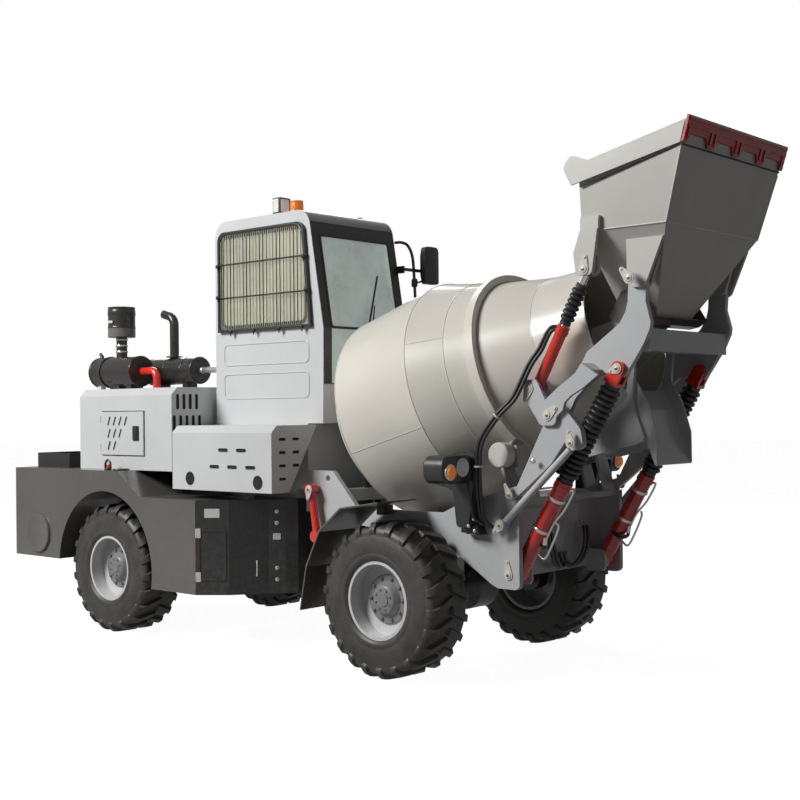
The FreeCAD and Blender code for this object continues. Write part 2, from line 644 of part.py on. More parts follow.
cleaner = body("air_cleaner")
cleaner_axis = d.stack_height
rod(cleaner, "YZ", d.cleaner_rear, d.cleaner_front, d.cleaner_y, cleaner_axis, d.cleaner_radius)
rod(cleaner, "XY", cleaner_axis, d.precleaner_low, d.cleaner_neck_x, d.cleaner_y, d.cleaner_neck_radius)
rod(cleaner, "XY", d.precleaner_low, d.precleaner_high, d.cleaner_neck_x, d.cleaner_y, d.precleaner_radius)
pad(cleaner, "XZ", d.cleaner_y - d.cleaner_radius / 2, d.cleaner_y + d.cleaner_radius / 2,
    rect(d.hood_rear + d.hood_wall, d.hood_rear + d.hood_wall + d.cleaner_radius, d.hood_top, cleaner_axis),
    rect(d.cleaner_front - d.cleaner_radius, d.cleaner_front - d.cleaner_radius / 2, d.hood_top, cleaner_axis))

muffler = body("muffler")
rod(muffler, "YZ", d.muffler_rear, d.muffler_front, d.muffler_y, cleaner_axis, d.muffler_radius)
for near in (d.muffler_rear + d.muffler_radius, d.muffler_front - d.muffler_radius * 1.5):
    pad(muffler, "XZ", d.muffler_y - d.muffler_radius / 2, d.muffler_y + d.muffler_radius / 2,
        rect(near, near + d.muffler_radius / 2, d.hood_top, cleaner_axis))

intake_end = d.cleaner_front + d.cleaner_radius * 1.6
feature("intake_hose", pipe([
    (d.cleaner_front, d.cleaner_y, cleaner_axis), (intake_end, d.cleaner_y, cleaner_axis),
    (intake_end, d.cleaner_y, d.hood_top)], d.hose_radius))
tail_low = cleaner_axis + d.muffler_radius
feature("exhaust_pipes", Part.makeCompound([
    pipe([(d.tail_x, d.muffler_y, tail_low), (d.tail_x, d.muffler_y, d.tail_top),
                  (d.tail_x - d.tail_bend * 1.6, d.muffler_y, d.tail_top + d.tail_radius)], d.tail_radius),
    pipe([(d.muffler_front, d.muffler_y, cleaner_axis),
                   (d.muffler_front + d.inlet_reach, d.muffler_y, cleaner_axis),
                   (d.muffler_front + d.inlet_reach, d.muffler_y, d.hood_top)], d.inlet_radius)]))

# ---------------------------------------------------------------- side boxes

side_boxes = body("side_boxes")
for side in (1, -1):
    inner_high, inner_low = d.side_box_inner_high * side, d.side_box_inner_low * side
    outer = d.side_box_outer
    pad(side_boxes, "YZ", d.side_box_rear, d.side_box_front, [
        (inner_low, d.side_box_low), (outer * side, d.side_box_low),
        (outer * side, d.side_box_high - d.side_box_bevel),
        ((outer - d.side_box_bevel) * side, d.side_box_high), (inner_high, d.side_box_high)])
# Flanges under the cab's floor carry the boxes.
for side in (1, -1):
    pad(side_boxes, "XY", d.side_box_high - d.plate, d.side_box_high, rect(
        d.side_box_rear, d.cab_base_front, *sorted(
            ((d.cab_half_width * side), (d.side_box_inner_high + d.plate) * side), key=lambda v: v.value)))

# ---------------------------------------------------------------- cab

cab = body("cab_shell")


def cab_profile(inset):
    """The cab's side view with its rounded roof corners, drawn in by an inset."""
    return [(d.cab_rear + inset, d.cab_low + inset), (d.cab_front - inset, d.cab_low + inset),
            (d.cab_waist_front - inset, d.cab_waist),
            (d.cab_brow - inset, d.cab_top - inset, d.cab_corner_radius - inset),
            (d.cab_rear + inset, d.cab_top - inset, d.cab_corner_radius - inset)]


wall = d.cab_wall
pad(cab, "XZ", -d.cab_half_width, d.cab_half_width, cab_profile(0))
cut(cab, "XZ", -d.cab_half_width + wall, d.cab_half_width - wall, cab_profile(wall))
window = [(d.window_rear, d.window_low), (d.window_front + wall, d.window_low),
          (d.window_front - wall, d.window_high), (d.window_rear, d.window_high)]
cut(cab, "XZ", -d.cab_half_width, -d.cab_half_width + wall, window)
cut(cab, "XZ", d.cab_half_width - wall, d.cab_half_width,
    rect(d.cab_door_rear, d.cab_door_front - wall, d.cab_door_low, d.cab_door_high))
cut(cab, "YZ", d.cab_brow - wall * 2, d.cab_waist_front,
    rect(-d.screen_half_width, d.screen_half_width, d.screen_low, d.screen_high))
cut(cab, "YZ", d.cab_rear, d.cab_rear + wall,
    rect(-d.rear_window_half_width, d.rear_window_half_width, d.window_low, d.window_high))
cut(cab, "XY", d.roof_line, d.cab_top, rect(d.cab_rear, d.cab_waist_front, -d.cab_half_width, d.cab_half_width))

roof = body("cab_roof")
pad(roof, "XZ", -d.cab_half_width, d.cab_half_width, cab_profile(0))
cut(roof, "XZ", -d.cab_half_width + wall, d.cab_half_width - wall, cab_profile(wall))
cut(roof, "XY", d.cab_low, d.roof_line, rect(d.cab_rear, d.cab_waist_front, -d.cab_half_width, d.cab_half_width))

cab_door = body("cab_door")
gap = d.door_gap
door_low, door_high = d.cab_half_width - wall + gap, d.cab_half_width
pad(cab_door, "XZ", door_low, door_high, rect(
    d.cab_door_rear + gap, d.cab_door_front - wall - gap, d.cab_door_low + gap, d.cab_door_high - gap))
for knuckle in (d.cab_door_low + d.knuckle * 12, d.cab_door_high - d.knuckle * 20):
    rod(cab_door, "XY", knuckle, knuckle + d.knuckle * 8, d.cab_door_rear,
        d.cab_half_width + d.knuckle + d.running_gap, d.knuckle)
    pad(cab_door, "XY", knuckle, knuckle + d.knuckle * 8, rect(
        d.cab_door_rear, d.cab_door_rear + d.knuckle * 3, d.cab_half_width + d.running_gap,
        d.cab_half_width + d.knuckle))
    pad(cab_door, "XY", knuckle, knuckle + d.knuckle * 8, rect(
        d.cab_door_rear + gap, d.cab_door_rear + d.knuckle * 3, d.cab_half_width,
        d.cab_half_width + d.knuckle))
pane_in = gap + d.door_frame
cut(cab_door, "XZ", door_low, door_high, rect(
    d.cab_door_rear + pane_in, d.cab_door_front - wall - pane_in, d.window_low, d.cab_door_high - pane_in))

door_glass = body("door_glass")
pane = door_low + (door_high - door_low - d.glass) / 2
pad(door_glass, "XZ", pane, pane + d.glass, rect(
    d.cab_door_rear + pane_in, d.cab_door_front - wall - pane_in, d.window_low, d.cab_door_high - pane_in))

glass = body("cab_glass")
pane = -d.cab_half_width + (wall - d.glass) / 2
pad(glass, "XZ", pane, pane + d.glass, window)
pane = d.cab_rear + (wall - d.glass) / 2
pad(glass, "YZ", pane, pane + d.glass,
    rect(-d.rear_window_half_width, d.rear_window_half_width, d.window_low, d.window_high))
lean = (d.cab_waist_front - d.cab_brow) / (d.cab_top - d.cab_waist)
rise = (d.cab_waist_front - d.cab_front) / (d.cab_waist - d.cab_low)
glass_out = (wall - d.glass) / 2
pad(glass, "XZ", -d.screen_half_width, d.screen_half_width, [
    (d.cab_waist_front - rise * (d.cab_waist - d.screen_low) - glass_out - d.glass, d.screen_low),
    (d.cab_waist_front - rise * (d.cab_waist - d.screen_low) - glass_out, d.screen_low),
    (d.cab_waist_front - glass_out, d.cab_waist),
    (d.cab_waist_front - lean * (d.screen_high - d.cab_waist) - glass_out, d.screen_high),
    (d.cab_waist_front - lean * (d.screen_high - d.cab_waist) - glass_out - d.glass, d.screen_high),
    (d.cab_waist_front - glass_out - d.glass, d.cab_waist)])

# The guard over the near window: a bent bar frame with upright wires.
guard = body("window_guard")
near = -d.cab_half_width - d.guard_stand
edge = d.guard_overlap
left, right = d.window_rear - edge, d.window_front + edge * 2
low, high = d.window_low - edge, d.window_high + edge
band = d.guard_bar_radius * 2
pad(guard, "XZ", near, near + band, [(left, low), (right, low), (right - edge * 2, high, edge * 2),
                                     (left, high, edge * 2)])
cut(guard, "XZ", near, near + band, [
    (left + band, low + band), (right - band, low + band),
    (right - edge * 2 - band, high - band, edge), (left + band, high - band, edge)])
for level in (1, 2):
    rail = low + (high - low) * level / 3
    pad(guard, "XZ", near, near + band, rect(left + band / 2, right - band * 2, rail, rail + band / 2))
for strut_x, strut_z in ((left + edge, low), (right - edge * 2, low),
                         (left + edge * 2.5, high - band), (right - edge * 4.5, high - band)):
    pad(guard, "XZ", -d.cab_half_width - d.guard_stand + band / 2, -d.cab_half_width,
        rect(strut_x, strut_x + band, strut_z, strut_z + band))

# Upright wires, evenly spaced, from the lower bar to the upper one.
wire = d.guard_wire_radius * 2
wire_first, wire_last = left + band * 1.5, right - edge * 2 - band * 1.5
wire_middle = near + band / 2
upright_wire = pad(guard, "XZ", wire_middle - wire / 2, wire_middle + wire / 2, rect(
    wire_first - wire / 2, wire_first + wire / 2, low + band / 2, high - band / 2))
wires = guard.newObject("PartDesign::LinearPattern", "guard_wires")
wires.Originals = [upright_wire]
wires.Direction = ([part for part in guard.Origin.OriginFeatures if part.Role == "X_Axis"][0], [""])
wires.Length = (wire_last - wire_first).value
bind(wires, "Length", wire_last - wire_first)
wires.Occurrences = round(d.guard_wires.value)
guard.Tip = wires

seat = body("seat")
cushion = d.seat_width / 2
cab_floor = d.cab_low + wall
pad(seat, "XZ", -cushion, cushion, [
    (d.seat_x - 200, d.seat_height - 110), (d.seat_x + 300, d.seat_height - 110, 30),
    (d.seat_x + 300, d.seat_height + 20, 50), (d.seat_x - 90, d.seat_height, 40),
    (d.seat_x - 160, d.seat_height + 560, 40), (d.seat_x - 290, d.seat_height + 560, 50)])
pad(seat, "XY", cab_floor, d.seat_height - 110, rect(d.seat_x - 160, d.seat_x + 240, -170, 170))

console = body("steering_console")
pad(console, "XZ", -150, 150, [
    (d.console_x + 10, cab_floor), (d.console_x + 200, cab_floor), (d.console_x + 200, d.wheel_height - 130),
    (d.console_x + 90, d.wheel_height - 90), (d.console_x + 10, d.wheel_height - 260)])
rod(console, "XY", d.wheel_height - 150, d.wheel_height, d.console_x + 60, 0, 24)
pad(console, "XY", d.wheel_height, d.wheel_height + d.steering_bar,
    Ring(d.console_x + 60, 0, d.steering_radius), Ring(d.console_x + 60, 0, d.steering_radius - 28))
pad(console, "XY", d.wheel_height, d.wheel_height + d.steering_bar,
    rect(d.console_x + 60 - d.steering_radius + 14, d.console_x + 60 + d.steering_radius - 14, -22, 22))

beacon = body("beacon")
rod(beacon, "XY", d.cab_top, d.cab_top + 40, d.beacon_x, d.beacon_y, d.beacon_radius * 0.8)
rod(beacon, "XY", d.cab_top + 40, d.cab_top + 150, d.beacon_x, d.beacon_y, d.beacon_radius)

work_light = body("work_light")
pad(work_light, "XY", d.cab_top, d.cab_top + 90, rect(d.lamp_x - 12, d.lamp_x + 12, d.beacon_y - 40, d.beacon_y - 16))
pad(work_light, "XY", d.cab_top + 60, d.cab_top + 190, rect(d.lamp_x - 30, d.lamp_x + 50, d.beacon_y - 75, d.beacon_y + 45))

mirror = body("mirror")
pad(mirror, "YZ", d.mirror_x, d.mirror_x + 45, [
    (d.mirror_y - 90, d.mirror_low, 30), (d.mirror_y + 90, d.mirror_low, 30),
    (d.mirror_y + 90, d.mirror_high, 40), (d.mirror_y - 90, d.mirror_high, 40)])
pad(mirror, "YZ", d.mirror_x - 20, d.mirror_x, rect(
    d.mirror_y - 20, d.mirror_y + 20, d.mirror_low + 100, d.mirror_low + 140))
pad(mirror, "XZ", d.cab_half_width, d.mirror_y + 20, rect(
    d.mirror_x - 40, d.mirror_x - 20, d.mirror_low + 100, d.mirror_low + 125))
pad(mirror, "XZ", d.cab_half_width, d.cab_half_width + d.plate, rect(
    d.cab_brow + 23, d.mirror_x - 20, d.mirror_low + 80, d.mirror_low + 140))

# ---------------------------------------------------------------- front chassis

front_axle_x = half_base
frame_in = d.frame_outer - d.frame_plate


def span(side, low, high):
    """Two distances off the centre, in rising order, on the side that side gives."""
    return (low, high) if side > 0 else (-high, -low)


front_frame = body("front_frame")
arch_front = d.axle_arch_x + d.axle_arch_reach
side_plate = [
    (d.bracket_rear, d.bracket_low), (d.bracket_rear, d.bracket_top), (d.bracket_front, d.bracket_top),
    (d.beam_rear, d.beam_top + 20), (d.beam_rear + 220, d.beam_top), (d.beam_peak_x - 140, d.beam_top),
    (d.beam_peak_x, d.beam_peak), (d.notch_x, d.notch_low + 95), (d.notch_x, d.notch_low),
    (d.crossbox_rear + 90, d.notch_low), (d.crossbox_rear + 110, d.crossbox_high),
    (d.frame_front, d.crossbox_high),
    (d.frame_front, d.frame_front_low, 40), (d.crossbox_front, d.frame_front_low),
    (arch_front, d.crossbox_low - 30), (d.axle_arch_x, d.beam_low, 220), (d.beam_rear, d.beam_low),
    (d.bracket_front, d.bracket_low - 20), (d.bracket_front - 20, d.ram_low - 40),
    (d.bracket_front - 160, d.ram_low - 40), (d.bracket_front - 180, d.bracket_low)]
pad_both(front_frame, frame_in, d.frame_outer, side_plate)
# The cross-box ties the two sides together, and carries the inner ears of the
# lift cylinders' forks.
pad(front_frame, "XZ", -frame_in, frame_in, [
    (d.crossbox_rear, d.notch_low), (d.crossbox_front - 120, d.crossbox_low),
    (d.crossbox_front, d.crossbox_low), (d.crossbox_front, d.crossbox_high),
    (d.crossbox_rear, d.crossbox_high)])
inner_ear = [(d.crossbox_front, d.lift_pin_z - 80), (d.lift_pin_x + 60, d.lift_pin_z - 80, 40),
             (d.lift_pin_x + 60, d.lift_pin_z + 80, 40), (d.crossbox_front, d.lift_pin_z + 80)]
pad_both(front_frame, d.fork_inner, d.fork_inner + d.fork_plate, inner_ear)
pad_both(front_frame, d.fork_inner, d.frame_outer, Ring(d.lift_pin_x, d.lift_pin_z, d.pin_radius))
for low, high in ((-d.frame_outer, -frame_in), (frame_in, d.frame_outer)):
    cut(front_frame, "XZ", low, high, Ring(d.lashing_x, d.lashing_z, d.lashing_radius))
# A shelf in front of the cross-box carries the drum's rollers.
pad(front_frame, "XZ", -frame_in, frame_in, rect(
    d.crossbox_rear, d.frame_front - 20, d.crossbox_high - 40, d.crossbox_high))
# The spine runs back to the hinge between the drum and the axle's bowl, and the
# axle is clamped in two seats under it.
spine = d.spine_half
rib_rear, rib_front = d.beam_rear + 140, d.beam_rear + 300
bowl_top = wheel_height + d.axle_bowl_radius + 30
pad(front_frame, "XY", bowl_top, d.spine_high, [
    (d.hinge_x + 120, -spine), (rib_rear, -spine), (rib_rear, -frame_in), (rib_front, -frame_in),
    (rib_front, -spine), (d.crossbox_rear + 60, -spine), (d.crossbox_rear + 60, spine),
    (rib_front, spine), (rib_front, frame_in), (rib_rear, frame_in), (rib_rear, spine),
    (d.hinge_x + 120, spine)])
seat_in, seat_out = d.axle_bowl_width / 2 + 50, d.axle_bowl_width / 2 + 150
pad_both(front_frame, seat_in, seat_out, rect(
    front_axle_x - seat_half, front_axle_x + seat_half, axle_top, bowl_top + 30))
pad(front_frame, "XY", bowl_top, bowl_top + 30, rect(
    front_axle_x - seat_half, front_axle_x + seat_half, -seat_out, seat_out))
lug_low = d.hinge_low + d.hinge_lug_height + d.hinge_gap
lug_high = d.hinge_high - d.hinge_lug_height * 2 - d.hinge_gap
bowl_clear = front_axle_x - d.axle_bowl_radius - 60
pad(front_frame, "XZ", -spine / 2, spine / 2, rect(d.hinge_x + 120, bowl_clear, lug_low, bowl_top))
for low in (lug_low, lug_high):
    pad(front_frame, "XY", low, low + d.hinge_lug_height,
        rect(d.hinge_x, d.hinge_x + 200, -d.hinge_lug_radius, d.hinge_lug_radius))
    rod(front_frame, "XY", low, low + d.hinge_lug_height, d.hinge_x, 0, d.hinge_lug_radius)
cut(front_frame, "XY", lug_low, lug_high + d.hinge_lug_height,
    Ring(d.hinge_x, 0, d.hinge_pin_radius + d.running_gap))
# A cross member behind the drum carries its drive.
pad(front_frame, "XZ", -frame_in, frame_in, rect(
    d.bracket_front - 120, d.bracket_front + 40, d.bracket_low + 80, d.bracket_low + 170))
pad_both(front_frame, d.frame_outer, d.ram_y, Ring(d.ram_top_x, d.ram_top_z, d.pin_radius),
         Ring(d.ram_low_x, d.ram_low, d.pin_radius))
pad_both(front_frame, d.frame_outer, d.brace_pin_y - d.brace_radius * 1.2,
         Ring(d.brace_pin_x, d.brace_pin_z, d.pin_radius))

# Bent mudguards behind the front tyres, on stays from the side plates.
front_fenders = body("front_fenders")
# Each bend: its angle about the axle from straight ahead, and how far it stands off the circle.
fender_bends = ((189.8, 45), (162.5, 0), (137.9, 13), (115.4, 23), (85, 11))
outside = []
for angle, off in fender_bends:
    radius = d.tyre_diameter / 2 + d.fender_clearance + off
    outside.append((front_axle_x + radius * math.cos(math.radians(angle)),
                    wheel_height + radius * math.sin(math.radians(angle))))
inside = [(x + d.fender_plate, z - d.fender_plate) for x, z in outside]
outline = outside + [(outside[4][0], inside[4][1])] + inside[3:0:-1] + [(inside[0][0], outside[0][1])]
pad_both(front_fenders, d.fender_inner, d.fender_outer, outline)
pad_both(front_fenders, d.frame_outer, d.fender_inner + 60, rect(
    outside[3][0] + 30, outside[3][0] + 90, inside[3][1] - 60, outside[3][1]))

uprights = body("uprights")
upright_out = d.upright_inner + d.upright_thick
column = [
    (d.crossbox_rear + 110, d.crossbox_high), (d.frame_front - 30, d.crossbox_high),
    (d.arm_pivot_x, d.arm_pivot_z - 318), (d.arm_pivot_x + 112, d.arm_pivot_z - 172),
    (d.lug_x - 24, d.lug_z - 52, 25), (d.lug_x + 70, d.lug_z - 40, 50), (d.lug_x + 50, d.lug_z + 90, 90),
    (d.arm_pivot_x + 98, d.arm_pivot_z + 60, 30), (d.arm_pivot_x - 60, d.arm_pivot_z + 60, 55),
    (d.arm_pivot_x - 60, d.arm_pivot_z - 76), (d.frame_front - 5, d.crossbox_high + 90)]
for side in (1, -1):
    pad(uprights, "XZ", *span(side, d.upright_inner, upright_out), column)
    pad(uprights, "XZ", *span(side, d.arm_inner - 10, d.arm_cheek + d.cheek_plate + 10),
        Ring(d.arm_pivot_x, d.arm_pivot_z, d.pin_radius))
rod(uprights, "XZ", -d.upright_inner, d.upright_inner, d.yoke_x, d.yoke_z, d.yoke_radius)

# The braces slant in from their pins outside the frame to the lugs of the uprights.
brace_end = 1 - d.brace_stop / reach(d.lug_x - d.brace_pin_x, d.lug_z - d.brace_pin_z)
brace_top_x = d.brace_pin_x + (d.lug_x - d.brace_pin_x) * brace_end
brace_top_z = d.brace_pin_z + (d.lug_z - d.brace_pin_z) * brace_end
feature("braces", Part.makeCompound([
    bar((d.brace_pin_x, d.brace_pin_y * side, d.brace_pin_z),
        (brace_top_x, d.brace_top_y * side, brace_top_z),
        d.brace_radius, d.eye_radius * 0.7, 1) for side in (1, -1)]))

headlamps = body("headlamps")
for side in (1, -1):
    pad(headlamps, "XZ", *span(side, d.frame_outer, d.lamp_y - d.lamp_thick), [
        (d.notch_x + 20, d.notch_low + 20), (d.notch_x + 180, d.notch_low + 10),
        (d.notch_x + 100, d.crossbox_high - 15), (d.notch_x + 100, d.lamp_low + 55),
        (d.notch_x + 40, d.lamp_low + 55)])
    pad(headlamps, "XZ", *span(side, d.lamp_y - d.lamp_thick, d.lamp_y + d.lamp_thick), [
        (d.notch_x + 30, d.notch_low + 60, 30), (d.notch_x + 130, d.notch_low + 60, 30),
        (d.lamp_front - 20, d.lamp_high - 140, 40), (d.lamp_front, d.lamp_high, 60),
        (d.lamp_front - 160, d.lamp_high, 60), (d.lamp_rear, d.lamp_low + 180, 40),
        (d.lamp_rear, d.lamp_low + 60, 40), (d.notch_x, d.lamp_low + 20, 60)])

ram_middle = d.ram_y + d.ram_radius * 1.2
feature("axle_rams", Part.makeCompound([
    bar((d.ram_top_x, ram_middle * side, d.ram_top_z), (d.ram_low_x, ram_middle * side, d.ram_low),
        d.ram_radius, d.eye_radius * 0.75, 2) for side in (1, -1)]))

# ---------------------------------------------------------------- drum

drum_height = d.drum_axis_height
tilt = d.drum_tilt
drum_profile = [
    (d.drum_back, d.drum_back_radius), (d.drum_dome, d.drum_dome_radius),
    (d.drum_seam, d.drum_seam_radius), (d.drum_belly, d.drum_belly_radius),
    (d.drum_ring - d.drum_ring_width * 3, d.drum_neck_radius + d.drum_ring_width),
    (d.drum_ring, d.drum_neck_radius), (d.drum_cone, d.drum_cone_radius),
    (d.drum_mouth, d.drum_mouth_radius)]
shell = d.drum_wall
lining = [(u, v - shell) for u, v in reversed(drum_profile[1:])]
drum = body("drum")
spin(drum, "XZ", "H_Axis", [(d.drum_back, 0)] + drum_profile + lining
     + [(d.drum_back + shell, d.drum_back_radius), (d.drum_back + shell, 0)])
ring_half = d.drum_ring_width / 2
spin(drum, "XZ", "H_Axis", rect(d.drum_ring - ring_half, d.drum_ring + ring_half,
                                d.drum_neck_radius - shell / 2, d.drum_ring_radius))
place(drum, 0, 0, drum_height, tilt)



def level(height, u):
    """Where a level plane at that height cuts the drum's own frame, u along its axis."""
    return (height - drum_height - sine(tilt) * u) / cosine(tilt)


drive = body("drum_drive")
drive_front = d.drum_back - d.side_gap
drive_rear = drive_front - d.drive_length
web_rear, web_end = drive_rear + d.plate, drive_rear + d.plate * 3
member_top = d.bracket_low + 170
spin(drive, "XZ", "H_Axis", rect(drive_rear, drive_front, 0, d.gear_radius))
pad(drive, "YZ", web_rear, web_end, [
    (-d.pedestal_foot, -d.pedestal_deep), (d.pedestal_foot, -d.pedestal_deep),
    (d.gear_radius, 0), (-d.gear_radius, 0)])
pad(drive, "XZ", -d.pedestal_foot, d.pedestal_foot, [
    (web_rear, level(member_top, web_rear)), (web_end, level(member_top, web_end)),
    (web_end, -d.pedestal_deep), (web_rear, -d.pedestal_deep)])
place(drive, 0, 0, drum_height, tilt)

roller_fall = root((d.drum_ring_radius + d.roller_radius + d.running_gap)
                   * (d.drum_ring_radius + d.roller_radius + d.running_gap) - d.roller_y * d.roller_y)
roller_half = d.roller_width / 2
roller_x = cosine(tilt) * d.drum_ring + sine(tilt) * roller_fall
roller_z = drum_height + sine(tilt) * d.drum_ring - cosine(tilt) * roller_fall
for hand, side in SIDES.items():
    roller = body(f"roller_{hand}")
    spin(roller, "XZ", "H_Axis", [
        (-roller_half, d.spindle_radius / 2 + d.running_gap), (roller_half, d.spindle_radius / 2 + d.running_gap),
        (roller_half, d.roller_radius), (-roller_half, d.roller_radius)])
    place(roller, roller_x, d.roller_y * side, roller_z, tilt)

stands = body("roller_stands")
stand_gap = roller_half + d.side_gap
for side in (1, -1):
    middle = d.roller_y * side
    for near in (d.drum_ring - stand_gap - d.plate * 2, d.drum_ring + stand_gap):
        far = near + d.plate * 2
        pad(stands, "XZ", middle - d.roller_radius * 0.7, middle + d.roller_radius * 0.7, [
            (near, level(d.crossbox_high, near)), (far, level(d.crossbox_high, far)),
            (far, d.spindle_radius - roller_fall), (near, d.spindle_radius - roller_fall)])
    rod(stands, "YZ", d.drum_ring - stand_gap - d.plate, d.drum_ring + stand_gap + d.plate,
        middle, -roller_fall, d.spindle_radius / 2)
place(stands, 0, 0, drum_height, tilt)

# The charge hopper leads into the drum's mouth, and the chute out from under it;
# one pair of side plates carries both from the yoke between the uprights.
chute = body("discharge_chute")
trough = d.hopper_half
thick = d.plate
floor = [(d.hopper_rear, d.hopper_low), (d.hopper_front, d.hopper_high)]
pad(chute, "XZ", -trough, trough, [
    floor[0], floor[1], (d.hopper_front, d.hopper_high + thick), (d.hopper_rear, d.hopper_low + thick)])
pad_both(chute, trough - thick, trough, [
    floor[0], floor[1], (d.hopper_front - 30, d.hopper_high + 60), (d.hopper_rear + 200, d.hopper_low + 330),
    (d.hopper_rear, d.hopper_low + 280)])
slide_x = [3030, 3114, 3178, 3240]
slide_z = [1950, 1824, 1617, 1470]
slide = [(sized(x), sized(z)) for x, z in zip(slide_x, slide_z)]
under = [(x - thick, z - thick / 2) for x, z in slide]
rail = [(x + 60, z + 60) for x, z in slide[1:3]]
chute_half = d.chute_half
pad(chute, "XZ", -chute_half, chute_half, slide + under[::-1])
pad_both(chute, chute_half - thick, chute_half, [
    under[0], (slide[0][0], slide[0][1] + 90), (slide[0][0] + 60, slide[0][1] + 70)] + rail
    + [slide[3]] + under[:0:-1])
pad_both(chute, chute_half, chute_half + thick * 2, [
    (d.yoke_x - 60, d.yoke_z - 60), (d.yoke_x + 60, d.yoke_z - 60), (slide_x[3] - 90, slide_z[2]),
    (slide_x[2] - thick, slide_z[2] + 30), (slide_x[1] - thick, slide_z[1] - 20), (3080, 1900),
    (d.hopper_front, d.hopper_high + 5), (d.hopper_front - 60, d.hopper_high - 30),
    (3040, 1900), (d.yoke_x + 60, d.yoke_z + 60), (d.yoke_x - 60, d.yoke_z + 60)])
cut(chute, "XZ", -chute_half - thick * 2, chute_half + thick * 2, Ring(d.yoke_x, d.yoke_z, d.yoke_radius))

# ---------------------------------------------------------------- loader arms

arms = body("lift_arms")
arm_outer = d.arm_inner + d.arm_plate
ear_out = arm_outer + d.ear_gap + d.ear_plate
ear_in = d.arm_inner - d.ear_gap - d.ear_plate
cheek_out = d.arm_cheek + d.cheek_plate
arm_plate = [
    (2515, 1950, 40), (2520, 2030, 30), (2600, 2030, 30), (2650, 1896), (2738, 1973),
    (2830, 2062), (2876, 2126), (2923, 2202), (3046, 2287), (3166, 2371), (3211, 2444),
    (3227, 2506), (3236, 2670, 40), (3302, 2706, 50), (3366, 2640, 30), (3355, 2498),
    (3389, 2373), (3383, 2330), (3338, 2236), (3280, 2151), (3228, 2077), (3190, 2026, 30),
    (3120, 2040, 30), (3060, 2058), (2997, 2042), (2890, 1962), (2830, 1905), (2786, 1820), (2764, 1730, 50),
    (2660, 1720, 50), (2568, 1850)]
for side in (1, -1):
    pad(arms, "XZ", *span(side, d.arm_inner, arm_outer), arm_plate)
    pad(arms, "XZ", *span(side, d.arm_cheek, cheek_out), [
        (2505, 1950, 40), (2510, 2030, 30), (2620, 2030, 30), (2690, 1896), (2787, 1973),
        (2922, 2062), (2969, 2126), (3090, 2045), (2983, 1970), (2889, 1920), (2841, 1881),
        (2824, 1828), (2776, 1789), (2764, 1730, 40), (2650, 1730, 40), (2568, 1850)])
    # The cheek is joined to the main plate ahead of everything the upright reaches.
    pad(arms, "XZ", *span(side, d.arm_inner, cheek_out), [
        (2945, 2094), (2969, 2126), (3036, 2082), (3014, 2048)])
    pad(arms, "XZ", *span(side, d.arm_inner, cheek_out), Ring(d.horn_x, d.horn_z, d.pin_radius))
    pad(arms, "XZ", *span(side, ear_in, ear_out), Ring(d.bucket_pivot_x, d.bucket_pivot_z, d.pin_radius))
pad(arms, "XZ", -d.arm_inner, d.arm_inner, rect(
    d.cross_tube_x - d.cross_tube_deep / 2, d.cross_tube_x + d.cross_tube_deep / 2,
    d.cross_tube_z - d.cross_tube_high / 2, d.cross_tube_z + d.cross_tube_high / 2))
for side in (1, -1):
    cut(arms, "XZ", *span(side, d.arm_inner, cheek_out),
        Ring(d.arm_pivot_x, d.arm_pivot_z, d.pin_radius + d.running_gap))

lift_run, lift_rise = d.clevis_x - d.lift_pin_x, d.clevis_z - d.lift_pin_z
lift_angle = slope(lift_run, lift_rise)
lift_length = reach(lift_run, lift_rise)
lift_centre = d.arm_inner + d.arm_plate / 2
lift_mids = (lift_centre, -lift_centre)
barrels = body("lift_barrels")
for middle in lift_mids:
    rod(barrels, "XZ", middle - d.ear_plate * 2, middle + d.ear_plate * 2, 0, 0, d.eye_radius)
    rod(barrels, "YZ", 0, d.barrel_length, middle, 0, d.barrel_radius)
for middle in lift_mids:
    cut(barrels, "YZ", d.barrel_floor, d.barrel_length, Ring(middle, 0, d.rod_radius + d.running_gap))
    cut(barrels, "XZ", middle - d.eye_radius, middle + d.eye_radius,
        Ring(0, 0, d.pin_radius + d.running_gap))
place(barrels, d.lift_pin_x, 0, d.lift_pin_z, lift_angle)

rods = body("lift_rods")
fork_out = d.arm_plate / 2 + d.ear_gap + d.ear_plate
fork_in = d.arm_plate / 2 + d.ear_gap
fork_root = d.eye_radius * 1.5
for middle in lift_mids:
    rod(rods, "YZ", -lift_length + d.lift_tail, -fork_root, middle, 0, d.rod_radius)
    pad(rods, "YZ", -fork_root - d.ear_plate, -fork_root,
        rect(middle - fork_out, middle + fork_out, -d.eye_radius * 0.9, d.eye_radius * 0.9))
    for low, high in ((middle - fork_out, middle - fork_in), (middle + fork_in, middle + fork_out)):
        pad(rods, "XZ", low, high, rect(-fork_root - d.ear_plate / 2, 0, -d.eye_radius * 0.8, d.eye_radius * 0.8))
        pad(rods, "XZ", low, high, Ring(0, 0, d.eye_radius * 0.8))
place(rods, d.clevis_x, 0, d.clevis_z, lift_angle)

LIFT_FOLDS, TILT_FOLDS = 17, 6


def boot(low, high, middle, bore, valley, crest, folds):
    """A rubber boot along x at y = middle: each fold slopes out from the valley to the crest and back."""
    low, high, middle, bore, valley, crest = (sized(value).value for value in (low, high, middle, bore, valley, crest))
    fold = (high - low) / folds
    outline = [(low, bore)]
    for number in range(folds):
        outline += [(low + fold * number, valley), (low + fold * (number + 0.5), crest)]
    outline += [(high, valley), (high, bore), (low, bore)]
    section = Part.Face(Part.makePolygon([FreeCAD.Vector(u, middle + v, 0) for u, v in outline]))
    return section.revolve(FreeCAD.Vector(0, middle, 0), FreeCAD.Vector(1, 0, 0), 360)


